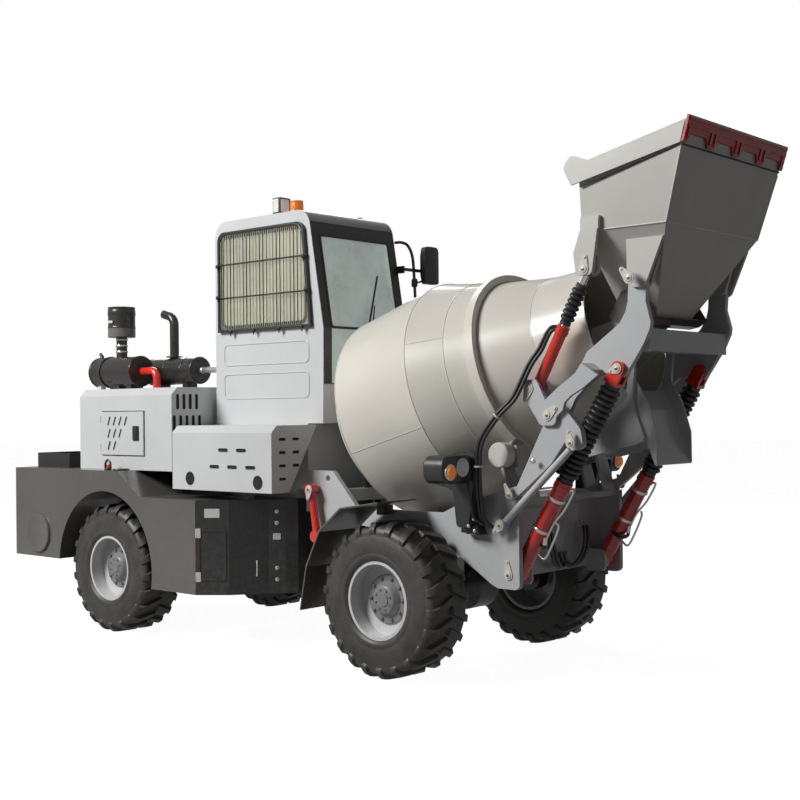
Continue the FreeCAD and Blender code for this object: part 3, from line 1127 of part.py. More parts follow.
bellows_end = -fork_root - d.ear_plate - d.side_gap
bellows = feature("lift_bellows", Part.makeCompound([
    boot(-lift_length + d.barrel_length + d.side_gap, bellows_end, middle,
         d.rod_radius + d.running_gap, d.bellows_valley, d.bellows_radius, LIFT_FOLDS) for middle in lift_mids]))
place(bellows, d.clevis_x, 0, d.clevis_z, lift_angle)

tilt_run, tilt_rise = d.ram_pin_x - d.horn_x, d.ram_pin_z - d.horn_z
tilt_angle = slope(tilt_run, tilt_rise)
tilt_length = reach(tilt_run, tilt_rise)
tilt_mids = (d.tilt_centre, -d.tilt_centre)
tilt_barrels = body("tilt_barrels")
for middle in tilt_mids:
    rod(tilt_barrels, "XZ", middle - d.tilt_eye_half, middle + d.tilt_eye_half, 0, 0, d.tilt_eye_radius)
    rod(tilt_barrels, "YZ", 0, d.tilt_barrel_length, middle, 0, d.tilt_barrel_radius)
for middle in tilt_mids:
    cut(tilt_barrels, "YZ", d.tilt_eye_radius * 1.5, d.tilt_barrel_length,
        Ring(middle, 0, d.tilt_rod_radius + d.running_gap))
    cut(tilt_barrels, "XZ", middle - d.tilt_eye_radius, middle + d.tilt_eye_radius,
        Ring(0, 0, d.pin_radius + d.running_gap))
place(tilt_barrels, d.horn_x, 0, d.horn_z, tilt_angle)

tilt_rods = body("tilt_rods")
for middle in tilt_mids:
    rod(tilt_rods, "YZ", -tilt_length + d.tilt_tail, 0, middle, 0, d.tilt_rod_radius)
    rod(tilt_rods, "XZ", middle - d.tilt_eye_half, middle + d.tilt_eye_half, 0, 0, d.tilt_eye_radius)
place(tilt_rods, d.ram_pin_x, 0, d.ram_pin_z, tilt_angle)

tilt_bellows = feature("tilt_bellows", Part.makeCompound([
    boot(-tilt_length + d.tilt_barrel_length + d.side_gap, -d.tilt_eye_radius * 2.4, middle,
         d.tilt_rod_radius + d.running_gap, d.tilt_bellows_valley, d.tilt_bellows_radius, TILT_FOLDS)
    for middle in tilt_mids]))
place(tilt_bellows, d.ram_pin_x, 0, d.ram_pin_z, tilt_angle)

# ---------------------------------------------------------------- hopper bucket

bucket = body("bucket")
rim_high = d.rim_front_z + d.plate


def loft(made, kind, sections):
    """Joins rectangular sections, each (height, left, right, half width), with flat sides."""
    sketches = [draw(made, "XY", sized(height), [rect(left, right, -half, half)])
                for height, left, right, half in sections]
    joined = made.newObject(f"PartDesign::{kind}", made.Name + "_loft")
    joined.Profile = sketches[0]
    joined.Sections = sketches[1:]
    joined.Ruled = True
    return joined


wall = d.bucket_wall
loft(bucket, "AdditiveLoft", [
    (d.outlet_z, d.outlet_rear, d.outlet_front, d.outlet_half_width),
    (d.fold_z, d.fold_rear, d.fold_front, d.fold_half_width),
    (rim_high, d.rim_rear_x, d.rim_front_x + 3, d.rim_half_width)])
loft(bucket, "SubtractiveLoft", [
    (d.outlet_z, d.outlet_rear + wall, d.outlet_front - wall, d.outlet_half_width - wall),
    (d.fold_z, d.fold_rear + wall, d.fold_front - wall, d.fold_half_width - wall),
    (rim_high, d.rim_rear_x + wall, d.rim_front_x + 3 - wall, d.rim_half_width - wall)])
cut(bucket, "XZ", -d.rim_half_width, d.rim_half_width, [
    (d.rim_rear_x - wall * 2, d.rim_rear_z - wall / 2), (d.rim_front_x, d.rim_front_z),
    (d.rim_front_x + wall, rim_high + wall), (d.rim_rear_x - wall * 2, rim_high + wall)])
# Pivot ears under the bucket, on both sides of each arm.
for side in (1, -1):
    pad(bucket, "XZ", *span(side, ear_in, d.arm_inner - d.ear_gap), [
        (3240, 2785), (3244, 2600, 50), (3360, 2585, 50), (3430, 2785)])
    pad(bucket, "XZ", *span(side, arm_outer + d.ear_gap, ear_out), [
        (3240, 2890), (3244, 2590, 50), (3367, 2585, 50), (3500, 2890)])
    # The tilt rams' ears hang from the fold, either side of each ram's eye.
    outer_low = d.tilt_centre + d.tilt_eye_half + d.ear_gap
    inner_high = d.tilt_centre - d.tilt_eye_half - d.ear_gap
    pad(bucket, "XZ", *span(side, outer_low, outer_low + d.ear_plate), [
        (2950, 3050), (2950, 2976), (2895, 2829), (2914, 2680, 40), (3030, 2680, 40), (3090, 3050)])
    pad(bucket, "XZ", *span(side, d.fold_half_width - wall / 2, outer_low + d.ear_plate),
        rect(2955, 3085, d.fold_z + 5, d.fold_z + 75))
    pad(bucket, "XZ", *span(side, inner_high - d.ear_plate, inner_high), [
        (2920, 2850), (2920, 2680, 40), (3026, 2680, 40), (3026, 2850)])
    pad(bucket, "XZ", *span(side, inner_high - d.ear_plate, outer_low + d.ear_plate),
        rect(2925, 3026, 2805, 2850))
for side in (1, -1):
    cut(bucket, "XZ", *span(side, ear_in, ear_out),
        Ring(d.bucket_pivot_x, d.bucket_pivot_z, d.pin_radius + d.running_gap))
# A band round the rim's sides, which runs back into a rounded horn.
pad_both(bucket, d.rim_half_width - wall, d.rim_half_width, [
    (d.rim_rear_x - 46, d.rim_rear_z - d.rim_band), (d.rim_rear_x - 107, d.rim_rear_z - 20, 45),
    (d.rim_rear_x - 50, d.rim_rear_z + 60, 40), (d.rim_rear_x + 84, d.rim_rear_z + 8, 60),
    (d.rim_front_x - wall, d.rim_front_z - wall), (d.rim_front_x - 46, d.rim_front_z - d.rim_band)])

# The gate swings on two lugs under the hopper's sides.
pad_both(bucket, d.gate_lug, d.gate_lug + d.gate_plate * 1.8, [
    (d.gate_x - 30, d.gate_z + 85), (d.gate_x - 30, d.gate_z - 30, 28), (d.gate_x + 30, d.gate_z - 30, 28),
    (d.gate_x + 30, d.gate_z + 85)])
cut(bucket, "XZ", -d.gate_half, d.gate_half, Ring(d.gate_x, d.gate_z, d.gate_pin + d.running_gap))

edge = body("cutting_edge")
face_run, face_rise = d.rim_front_x + 3 - d.fold_front, rim_high - d.fold_z
face = reach(face_run, face_rise)
along = (face_run / face, face_rise / face)
foot = (d.rim_front_x + 3 - along[0] * d.edge_height, rim_high - along[1] * d.edge_height)
out = (along[1] * d.edge_thickness, -along[0] * d.edge_thickness)
lip_top = (foot[0] + along[0] * (d.edge_height + d.plate), foot[1] + along[1] * (d.edge_height + d.plate))
pad(edge, "XZ", -d.rim_half_width, d.rim_half_width, [
    foot, (foot[0] + out[0], foot[1] + out[1]), (lip_top[0] + out[0], lip_top[1] + out[1]), lip_top])

# Arches along the edge's foot leave a tooth between each two.
EDGE_ARCHES = 4
bay = d.rim_half_width * 2 / EDGE_ARCHES
for number in range(EDGE_ARCHES):
    centre = bay * (number + 0.5) - d.rim_half_width
    half = (bay - d.edge_tooth) / 2
    cut(edge, "YZ", foot[0] - d.edge_height, foot[0] + d.edge_height, [
        (centre - half - 12, foot[1] - wall), (centre - half + 25, foot[1] + d.edge_arch, 35),
        (centre + half - 25, foot[1] + d.edge_arch, 35), (centre + half + 12, foot[1] - wall)])

gate = body("bucket_gate")
gate_angles = (228, 249, 270, 291, 312)
inner_arc = [(d.gate_radius * math.cos(math.radians(a)), d.gate_radius * math.sin(math.radians(a)))
             for a in gate_angles]
gate_out = d.gate_radius + d.gate_plate
outer_arc = [(gate_out * math.cos(math.radians(a)), gate_out * math.sin(math.radians(a)))
             for a in gate_angles]
pad(gate, "XZ", -d.gate_half, d.gate_half, inner_arc + outer_arc[::-1])
for side in (1, -1):
    pad(gate, "XZ", *span(side, d.gate_half - d.plate, d.gate_half),
        [(-30, 20, 20), (outer_arc[0][0], outer_arc[0][1]), (0, -gate_out), (outer_arc[4][0], outer_arc[4][1]),
         (30, 20, 20)])
    rod(gate, "XZ", *span(side, d.gate_lug - d.plate, d.gate_half), 0, 0, d.gate_pin)
place(gate, d.gate_x, 0, d.gate_z)

# ---------------------------------------------------------------- finish

doc.recompute()
os.makedirs("parts", exist_ok=True)
for name, made in parts.items():
    for thing in [made] + list(getattr(made, "Group", [])):
        if "Invalid" in thing.State or "Error" in thing.State:
            raise RuntimeError(f"{name}: {thing.Name} did not compute")
    shape = made.Shape
    if shape.isNull() or not shape.isValid():
        raise RuntimeError(f"{name} has no sound shape")
for name, made in parts.items():
    made.Shape.exportStep(f"parts/{name}.step")
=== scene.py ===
"""Dresses the self-loading concrete mixer: paints, rubber, glass and the small fittings of each sub-part."""
import math

import bmesh
import bpy
import numpy as np
from mathutils import Matrix, Vector


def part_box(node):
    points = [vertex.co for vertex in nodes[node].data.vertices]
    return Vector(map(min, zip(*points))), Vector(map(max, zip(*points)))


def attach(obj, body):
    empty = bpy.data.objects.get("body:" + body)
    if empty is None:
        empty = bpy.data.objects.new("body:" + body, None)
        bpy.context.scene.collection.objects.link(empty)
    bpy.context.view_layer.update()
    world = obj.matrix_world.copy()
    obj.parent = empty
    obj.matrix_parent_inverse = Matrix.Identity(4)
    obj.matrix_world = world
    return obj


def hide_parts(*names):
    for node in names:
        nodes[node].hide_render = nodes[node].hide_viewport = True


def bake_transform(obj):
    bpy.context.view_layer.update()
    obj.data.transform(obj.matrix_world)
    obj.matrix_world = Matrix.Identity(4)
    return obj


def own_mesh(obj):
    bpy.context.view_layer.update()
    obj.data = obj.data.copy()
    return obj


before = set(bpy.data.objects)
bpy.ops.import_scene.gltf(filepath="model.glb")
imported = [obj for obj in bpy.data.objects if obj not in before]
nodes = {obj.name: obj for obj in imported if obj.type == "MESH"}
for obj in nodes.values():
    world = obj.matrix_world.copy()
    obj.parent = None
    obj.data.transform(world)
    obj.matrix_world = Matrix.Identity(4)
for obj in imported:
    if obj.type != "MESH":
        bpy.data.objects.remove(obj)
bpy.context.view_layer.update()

along_x, along_y, straight_up = np.eye(3)      # ahead, to the machine's left, and up

# ------------------------------------------------------------------ the studio
# A pale floor in white air, one soft key lamp at the right side, a weak one ahead and a
# rim lamp from behind. The camera stands at the front right, at eye height.

camera_data = bpy.data.cameras.new("camera")
camera_data.lens = 57.433
camera_data.sensor_width = 36.0
camera_data.clip_end = 200.0
camera = bpy.data.objects.new("camera", camera_data)
bpy.context.scene.collection.objects.link(camera)
bpy.context.scene.camera = camera
heading, climb, lean = (math.radians(angle) for angle in (41.5927, -0.5011, -0.6042))
backwards = Vector((math.sin(heading) * math.cos(climb), -math.cos(heading) * math.cos(climb),
                    math.sin(climb)))
level_right = Vector((math.cos(heading), math.sin(heading), 0.0))
level_up = backwards.cross(level_right)
right = level_right * math.cos(lean) + level_up * math.sin(lean)
upwards = level_up * math.cos(lean) - level_right * math.sin(lean)
turn = Matrix((right, upwards, backwards)).transposed().to_4x4()
camera_place = Vector((7.019, -7.462, 1.833))
camera.matrix_world = Matrix.Translation(camera_place) @ turn


def node(tree, kind, ins=None, **options):
    """Adds a shader node, sets its options, then fills or joins the inputs named in ins."""
    made = tree.nodes.new("ShaderNode" + kind)
    for option, value in options.items():
        setattr(made, option, value)
    for place, value in (ins or {}).items():
        if isinstance(value, bpy.types.NodeSocket):
            tree.links.new(value, made.inputs[place])
        else:
            made.inputs[place].default_value = value
    return made


def maths(tree, operation, first, second, clamp=False):
    """The result of one operation on two numbers, each a value or a socket."""
    return node(tree, "Math", {0: first, 1: second}, operation=operation, use_clamp=clamp).outputs[0]


def ranged(tree, value, low, high, first=0.0, last=1.0):
    """Carries value from the range low to high over to the range first to last."""
    return node(tree, "MapRange", {0: value, 1: low, 2: high, 3: first, 4: last}).outputs[0]


def blank_material(name):
    """A new material with an empty tree and its output; gives the material, tree and output."""
    made = bpy.data.materials.new(name)
    made.use_nodes = True
    made.node_tree.nodes.clear()
    return made, made.node_tree, made.node_tree.nodes.new("ShaderNodeOutputMaterial")


def background_seen(tree):
    """How much of the white background a ray meets: all from the camera or by glass, less by gloss."""
    ray = node(tree, "LightPath").outputs
    gloss = maths(tree, "MULTIPLY", ray["Is Glossy Ray"], 0.3)
    seen = maths(tree, "MAXIMUM", ray["Is Camera Ray"], gloss)
    return maths(tree, "MAXIMUM", seen, ray["Is Transmission Ray"])


def floor_material():
    """Pale matte card: it bounces little light, and looks white except where the machine shades it."""
    made, tree, out = blank_material("floor_card")
    card = node(tree, "BsdfDiffuse", {"Color": (0.22, 0.22, 0.22, 1)})
    glow = node(tree, "Emission", {"Strength": 0.965})
    dark = node(tree, "Emission", {"Strength": 0.0})
    lit = node(tree, "MixShader", {0: background_seen(tree), 1: dark.outputs[0], 2: glow.outputs[0]})
    both = node(tree, "AddShader", {0: card.outputs[0], 1: lit.outputs[0]})
    tree.links.new(both.outputs[0], out.inputs["Surface"])
    return made


def studio_floor(half):
    """A level square sheet on the ground."""
    mesh = bpy.data.meshes.new("studio_floor")
    corners = [(-half, -half, 0), (half, -half, 0), (half, half, 0), (-half, half, 0)]
    mesh.from_pydata(corners, [], [(0, 1, 2, 3)])
    mesh.materials.append(floor_material())
    floor = bpy.data.objects.new("studio_floor", mesh)
    bpy.context.scene.collection.objects.link(floor)


def studio_air():
    """A world that is white behind the object and lights it only softly."""
    world = bpy.data.worlds.new("studio_air")
    world.use_nodes = True
    tree = world.node_tree
    strength = ranged(tree, background_seen(tree), 0.0, 1.0, 0.05, 1.0)
    background = tree.nodes["Background"]
    background.inputs["Color"].default_value = (1, 1, 1, 1)
    tree.links.new(strength, background.inputs["Strength"])
    bpy.context.scene.world = world


def lamp(name, place, aim, size, power):
    """A square soft box at place, facing aim."""
    data = bpy.data.lights.new(name, "AREA")
    data.shape = "SQUARE"
    data.size = size
    data.energy = power
    made = bpy.data.objects.new(name, data)
    bpy.context.scene.collection.objects.link(made)
    made.location = place
    made.rotation_euler = (Vector(aim) - Vector(place)).to_track_quat("-Z", "Y").to_euler()


studio_floor(60.0)
studio_air()
lamp("key_lamp", (-4.5, -9.5, 8.5), (0, 0, 1.4), 4.0, 1650)
lamp("front_lamp", (9.5, 0.5, 4.0), (0.5, 0, 1.5), 3.0, 8)
lamp("rear_lamp", (-8.0, 6.0, 7.0), (0, 0, 1.5), 5.0, 300)
bpy.context.scene.view_settings.view_transform = "Standard"

# ------------------------------------------------------------------ painted steel
# Plates of the chassis, hood, cab and loader: sheet steel under a sprayed enamel. The
# paint has orange peel, thins to a paler rub along edges, and gathers road dust low down.


def effect(name, takes, gives):
    """An empty node group: takes maps input names to (kind, value), gives maps output names to kinds."""
    tree = bpy.data.node_groups.new(name, "ShaderNodeTree")
    for label, (kind, value) in takes.items():
        socket = tree.interface.new_socket(label, in_out="INPUT", socket_type="NodeSocket" + kind)
        socket.default_value = value
    for label, kind in gives.items():
        tree.interface.new_socket(label, in_out="OUTPUT", socket_type="NodeSocket" + kind)
    return tree, tree.nodes.new("NodeGroupInput").outputs, tree.nodes.new("NodeGroupOutput").inputs


def mixed(tree, share, first, second):
    """A colour between first and second, at share from 0 to 1."""
    return node(tree, "Mix", {0: share, 6: first, 7: second}, data_type="RGBA").outputs[2]


def noise(tree, place, scale, detail, rough=0.5):
    """Fractal noise at place."""
    given = {"Vector": place, "Scale": scale, "Detail": detail, "Roughness": rough}
    return node(tree, "TexNoise", given).outputs[0]


def enamel_effect():
    """Orange peel, rubbed edges and dust that thickens towards the ground, for any painted steel."""
    tree, take, give = effect(
        "enamel_skin",
        {"Paint": ("Color", (0.5, 0.5, 0.5, 1)), "Rub": ("Float", 0.35), "Dust": ("Float", 0.3),
         "Roughness": ("Float", 0.35), "Edge": ("Float", 0.004)},
        {"Colour": "Color", "Roughness": "Float", "Normal": "Vector"})
    place = node(tree, "TexCoord").outputs["Object"]
    softened = node(tree, "Bevel", {"Radius": take["Edge"]}, samples=4).outputs[0]
    flat = node(tree, "NewGeometry").outputs["Normal"]
    facing = node(tree, "VectorMath", {0: softened, 1: flat}, operation="DOT_PRODUCT").outputs["Value"]
    edge = ranged(tree, facing, 0.995, 0.8)
    chips = ranged(tree, noise(tree, place, 9.0, 5.0, 0.65), 0.47, 0.62)
    rub = maths(tree, "MULTIPLY", maths(tree, "MULTIPLY", edge, chips), take["Rub"])
    shade = ranged(tree, noise(tree, place, 1.6, 3.0), 0.3, 0.7, 0.94, 1.05)
    painted = node(tree, "VectorMath", {0: take["Paint"], "Scale": shade}, operation="SCALE").outputs[0]
    pale = node(tree, "VectorMath", {0: take["Paint"], 1: (0.16, 0.16, 0.155)}, operation="ADD").outputs[0]
    worn = mixed(tree, rub, painted, pale)
    height = node(tree, "SeparateXYZ", {0: place}).outputs["Z"]
    low = ranged(tree, height, 1.3, 0.35, 0.12, 1.0)
    specks = noise(tree, place, 26.0, 6.0, 0.7)
    settled = ranged(tree, specks, 0.42, 0.72, 0.1, 1.0)
    dusty = maths(tree, "MULTIPLY", maths(tree, "MULTIPLY", low, settled), take["Dust"], clamp=True)
    coloured = mixed(tree, dusty, worn, (0.36, 0.33, 0.29, 1))
    matter = maths(tree, "MULTIPLY", dusty, 0.4)
    uneven = ranged(tree, specks, 0.3, 0.7, -0.035, 0.05)
    rough = maths(tree, "ADD", maths(tree, "ADD", take["Roughness"], matter), uneven, clamp=True)
    peel = noise(tree, place, 240.0, 2.0)
    bumped = node(tree, "Bump", {"Strength": 0.05, "Distance": 0.0006, "Height": peel, "Normal": softened})
    tree.links.new(coloured, give["Colour"])
    tree.links.new(rough, give["Roughness"])
    tree.links.new(bumped.outputs[0], give["Normal"])
    return tree


enamel_skin = enamel_effect()


def surfaced(name, skin, values, metal=0.0, coat=0.0):
    """A material whose colour, roughness and normal come from a skin group with these values."""
    made, tree, out = blank_material(name)
    group = tree.nodes.new("ShaderNodeGroup")
    group.node_tree = skin
    for label, value in values.items():
        group.inputs[label].default_value = value
    shader = node(tree, "BsdfPrincipled", {
        "Base Color": group.outputs["Colour"], "Roughness": group.outputs["Roughness"],
        "Normal": group.outputs["Normal"], "Metallic": metal, "Coat Weight": coat,
        "Coat Roughness": 0.1, "Specular IOR Level": 0.5})
    tree.links.new(shader.outputs[0], out.inputs["Surface"])
    return made


def enamel(name, colour, rough=0.34, rub=0.3, dust=0.3, coat=0.25, edge=0.004):
    """Sprayed paint of one colour."""
    return surfaced(name, enamel_skin, {"Paint": (*colour, 1), "Rub": rub, "Dust": dust,
                                        "Roughness": rough, "Edge": edge}, coat=coat)


def finish(material, *labels):
    """Gives CAD nodes this material in place of their own."""
    for label in labels:
        mesh = nodes[label].data
        mesh.materials.clear()
        mesh.materials.append(material)


pale_grey = enamel("pale_grey_enamel", (0.6, 0.607, 0.61))
frame_grey = enamel("frame_grey_enamel", (0.52, 0.528, 0.535))
bucket_grey = enamel("bucket_grey_enamel", (0.58, 0.56, 0.52), rough=0.42, rub=0.5, dust=0.2)
warm_charcoal = enamel("charcoal_enamel", (0.105, 0.098, 0.088), rough=0.3, rub=0.35, dust=0.12, coat=0.35)
chassis_black = enamel("chassis_black_enamel", (0.018, 0.018, 0.018), rough=0.36, rub=0.3, dust=0.14)
oil_red = enamel("cylinder_red_enamel", (0.76, 0.028, 0.016), rough=0.24, rub=0.2, dust=0.08, coat=0.6,
                 edge=0.002)
wheel_silver = enamel("wheel_silver_enamel", (0.62, 0.62, 0.62), rough=0.32, dust=0.12, edge=0.003)
drum_cream = enamel("drum_cream_enamel", (0.7, 0.67, 0.6), rough=0.3, rub=0.1, dust=0.12, coat=0.4)
trim_black = enamel("trim_black_enamel", (0.014, 0.014, 0.015), rough=0.42, rub=0.2, dust=0.05, edge=0.002)
finish(pale_grey, "cab_base", "engine_hood", "hood_door_left", "hood_door_right", "side_boxes")
finish(frame_grey, "front_frame", "uprights", "braces", "lift_arms", "discharge_chute", "roller_stands")
finish(bucket_grey, "bucket")
finish(warm_charcoal, "rear_fenders", "counterweight", "front_fenders", "bucket_gate")
finish(chassis_black, "rear_frame", "hinge_nose", "axle_front", "axle_rear", "drum_drive", "window_guard")
finish(oil_red, "axle_rams", "lift_barrels", "tilt_barrels", "lift_rods", "cutting_edge", "intake_hose")
finish(drum_cream, "drum")
finish(trim_black, "headlamps", "mirror", "steering_console", "work_light", "cab_door")

# ------------------------------------------------------------------ tyres
# Four tubeless earthmover tyres. Each has bowed sidewalls and two staggered rows of
# slanted lugs, half a pitch apart, moulded in one black rubber with the carcass.


def woven(points, around=False, along=False):
    """Quads between neighbours of a grid of points, closed in its second or first direction."""
    rows, columns = points.shape[:2]
    numbers = np.arange(rows * columns).reshape(rows, columns)
    if along:
        numbers = np.vstack([numbers, numbers[:1]])
    if around:
        numbers = np.hstack([numbers, numbers[:, :1]])
    quads = np.stack([numbers[:-1, :-1], numbers[:-1, 1:], numbers[1:, 1:], numbers[1:, :-1]], -1)
    return points.reshape(-1, 3), quads.reshape(-1, 4).tolist()


def piece(name, shells, material, body, crease=35, bevel=0.0, stands_for=()):
    """Joins shells of (points, faces) into one closed mesh with outward faces and rides it on a body."""
    points = np.vstack([np.asarray(shell[0], float).reshape(-1, 3) for shell in shells])
    starts = np.cumsum([0] + [len(shell[0]) for shell in shells])
    faces = [[start + corner for corner in face] for start, shell in zip(starts, shells) for face in shell[1]]
    mesh = bpy.data.meshes.new(name)
    mesh.from_pydata(points.tolist(), [], faces)
    shape = bmesh.new()
    shape.from_mesh(mesh)
    bmesh.ops.remove_doubles(shape, verts=shape.verts, dist=2e-6)
    bmesh.ops.recalc_face_normals(shape, faces=shape.faces)
    shape.to_mesh(mesh)
    shape.free()
    mesh.shade_smooth()
    mesh.set_sharp_from_angle(angle=math.radians(crease))
    made = bpy.data.objects.new(name, mesh)
    bpy.context.scene.collection.objects.link(made)
    mesh.materials.append(material)
    if bevel:
        rounding = made.modifiers.new("rounding", "BEVEL")
        rounding.width = bevel
        rounding.segments = 2
        rounding.limit_method = "ANGLE"
    if body:
        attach(made, body)
    if stands_for:
        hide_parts(*stands_for)
    return made


def rubber_effect():
    """Matte rubber: fine grain in its bump, and pale road dust rubbed in unevenly."""
    tree, take, give = effect(
        "rubber_skin",
        {"Rubber": ("Color", (0.02, 0.02, 0.02, 1)), "Dust": ("Float", 0.4), "Roughness": ("Float", 0.6),
         "Grain": ("Float", 300.0)},
        {"Colour": "Color", "Roughness": "Float", "Normal": "Vector"})
    place = node(tree, "TexCoord").outputs["Object"]
    broad = noise(tree, place, 7.0, 6.0, 0.65)
    settled = ranged(tree, broad, 0.35, 0.75)
    dusty = maths(tree, "MULTIPLY", settled, take["Dust"])
    coloured = mixed(tree, dusty, take["Rubber"], (0.17, 0.155, 0.135, 1))
    uneven = ranged(tree, broad, 0.3, 0.7, -0.06, 0.08)
    rough = maths(tree, "ADD", uneven, take["Roughness"])
    fine = noise(tree, place, take["Grain"], 3.0)
    bumped = node(tree, "Bump", {"Strength": 0.12, "Distance": 0.001, "Height": fine})
    tree.links.new(coloured, give["Colour"])
    tree.links.new(rough, give["Roughness"])
    tree.links.new(bumped.outputs[0], give["Normal"])
    return tree


rubber_skin = rubber_effect()


def rubbery(name, colour, dust, rough, grain=300.0):
    """Moulded rubber of one colour."""
    values = {"Rubber": (*colour, 1), "Dust": dust, "Roughness": rough, "Grain": grain}
    return surfaced(name, rubber_skin, values)


tyre_rubber = rubbery("tyre_rubber", (0.034, 0.032, 0.029), 0.32, 0.46)
lugs_around = 22
lug_rise = 0.027
lug_slant = 0.62               # how far a lug runs back to the shoulder, in pitches
bead_radius, tread_radius = 0.266, 0.512
tyre_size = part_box("tyre_front_left")[1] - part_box("tyre_front_left")[0]
tyre_radius, tyre_half_width = tyre_size.x / 2, tyre_size.y / 2


def tyre_surface(centre):
    """A ring swept about Y: the section runs bead to bead, and its radius gains the lug's height.

    Across the tread the angle is sheared towards each shoulder, so that the lugs slant; the
    right row fills the first half of each pitch and the left row the second half.
    """
    section = np.array([
        (0.86, bead_radius), (0.97, 0.285), (1.0, 0.315), (0.985, 0.322), (0.985, 0.33), (1.0, 0.34),
        (1.0, 0.375), (0.985, 0.41), (0.955, 0.442), (0.94, 0.452), (0.945, 0.462), (0.925, 0.476),
        (0.9, 0.487), (0.865, 0.497), (0.8, 0.5065), (0.7, 0.509), (0.5, 0.5105), (0.3, 0.5115),
        (0.12, tread_radius), (0.04, tread_radius)])
    across = np.concatenate([section[:, 0], [0.0], -section[::-1, 0]])
    radius = np.concatenate([section[:, 1], [tread_radius], section[::-1, 1]])
    steps = np.array([0.0, 0.055, 0.095, 0.26, 0.42, 0.46, 0.5, 0.555, 0.595, 0.76, 0.92, 0.96])
    first_half = np.tile((steps > 0.09) & (steps < 0.43), lugs_around).astype(float)[:, None]
    second_half = np.tile((steps > 0.59) & (steps < 0.93), lugs_around).astype(float)[:, None]
    on_left, on_right = (np.clip((side * across + 0.02) / 0.001, 0, 1) for side in (1, -1))
    lug = np.clip(first_half * on_right + second_half * on_left, 0, 1)
    tall = np.interp(radius, [0.455, 0.478, 0.498, 0.506], [0.0, 0.25, 0.75, 1.0]) * lug_rise
    spread = np.interp(radius, [0.455, 0.478, 0.5], [0.0, 0.02, 0.0])
    pitch = 2 * math.pi / lugs_around
    whole = (np.arange(lugs_around)[:, None] + steps).ravel() * pitch
    angle = whole[:, None] + lug_slant * pitch * np.clip(np.abs(across), 0, 0.95) ** 1.15
    grown = np.minimum(radius + lug * tall, tyre_radius - 0.0005)
    out = across * tyre_half_width + np.sign(across) * lug * spread
    out = np.clip(out, -tyre_half_width, tyre_half_width)
    points = np.stack([centre.x + grown * np.sin(angle), centre.y + out,
                       centre.z + grown * np.cos(angle)], -1)
    inner_radius, inner_half = bead_radius - 0.002, 0.84 * tyre_half_width
    inner = np.stack([
        centre.x + inner_radius * np.sin(whole)[:, None] * np.ones(2),
        centre.y + np.array([-inner_half, inner_half]) * np.ones((len(whole), 1)),
        centre.z + inner_radius * np.cos(whole)[:, None] * np.ones(2)], -1)
    return woven(np.concatenate([points, inner], 1), around=True, along=True)


corners = [(end, hand) for end in ("front", "rear") for hand in ("left", "right")]
for end, hand in corners:
    low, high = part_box(f"tyre_{end}_{hand}")
    piece(f"lugged_tyre_{end}_{hand}", [tyre_surface((low + high) / 2)], tyre_rubber,
          f"wheel_{end}_{hand}", crease=42, stands_for=(f"tyre_{end}_{hand}",))

# ------------------------------------------------------------------ rims and hubs
# Deep-dished steel rims in silver paint, held on planetary hubs by ten studs and nuts.
# The hub has its own ring of cap screws and a plug in the middle.


def square_to(axis):
    """The axis as a unit vector, and two unit vectors square to it and to each other."""
    axis = np.asarray(axis, float) / np.linalg.norm(axis)
    aside = np.cross(axis, straight_up if abs(axis[2]) < 0.9 else along_x)
    aside /= np.linalg.norm(aside)
    return axis, aside, np.cross(axis, aside)


def turned(profile, start, axis, steps):
    """A surface of revolution: profile rows are (distance along axis, radius) from start."""
    profile = np.asarray(profile, float)
    axis, aside, third = square_to(axis)
    angle = np.arange(steps) / steps * 2 * math.pi
    ring = np.cos(angle)[:, None] * aside + np.sin(angle)[:, None] * third
    points = np.asarray(start, float) + profile[:, 0, None, None] * axis + profile[:, 1, None, None] * ring
    return woven(points, around=True)


def dome(radius, height, start, axis, steps=20):
    """A shallow round button: a flat-topped disc with a rounded rim, closed at both ends."""
    soft = min(radius, height) * 0.35
    turn_in = np.linspace(0, math.pi / 2, 4)
    rim = np.stack([height - soft + soft * np.sin(turn_in), radius - soft + soft * np.cos(turn_in)], -1)
    return turned(np.vstack([[(0, 0), (0, radius)], rim, [(height, 0)]]), start, axis, steps)


def hexagon_bolt(start, axis, size):
    """A washer and a six-sided head with a turned-down top, as one stack of rings."""
    washer = turned([(0, 0), (0, size * 1.25), (size * 0.22, size * 1.25), (size * 0.22, 0)], start, axis, 14)
    head = turned([(size * 0.2, 0), (size * 0.2, size), (size * 0.78, size), (size * 0.9, size * 0.8),
                   (size * 0.9, 0)], start, axis, 6)
    return [washer, head]


def bolt_ring(middle, axis, radius, count, size, first=0.0):
    """Bolts evenly spaced on a circle about axis."""
    axis, aside, third = square_to(axis)
    angles = first + np.arange(count) / count * 2 * math.pi
    around = np.cos(angles)[:, None] * aside + np.sin(angles)[:, None] * third
    return [shell for place in np.asarray(middle, float) + radius * around
            for shell in hexagon_bolt(place, axis, size)]


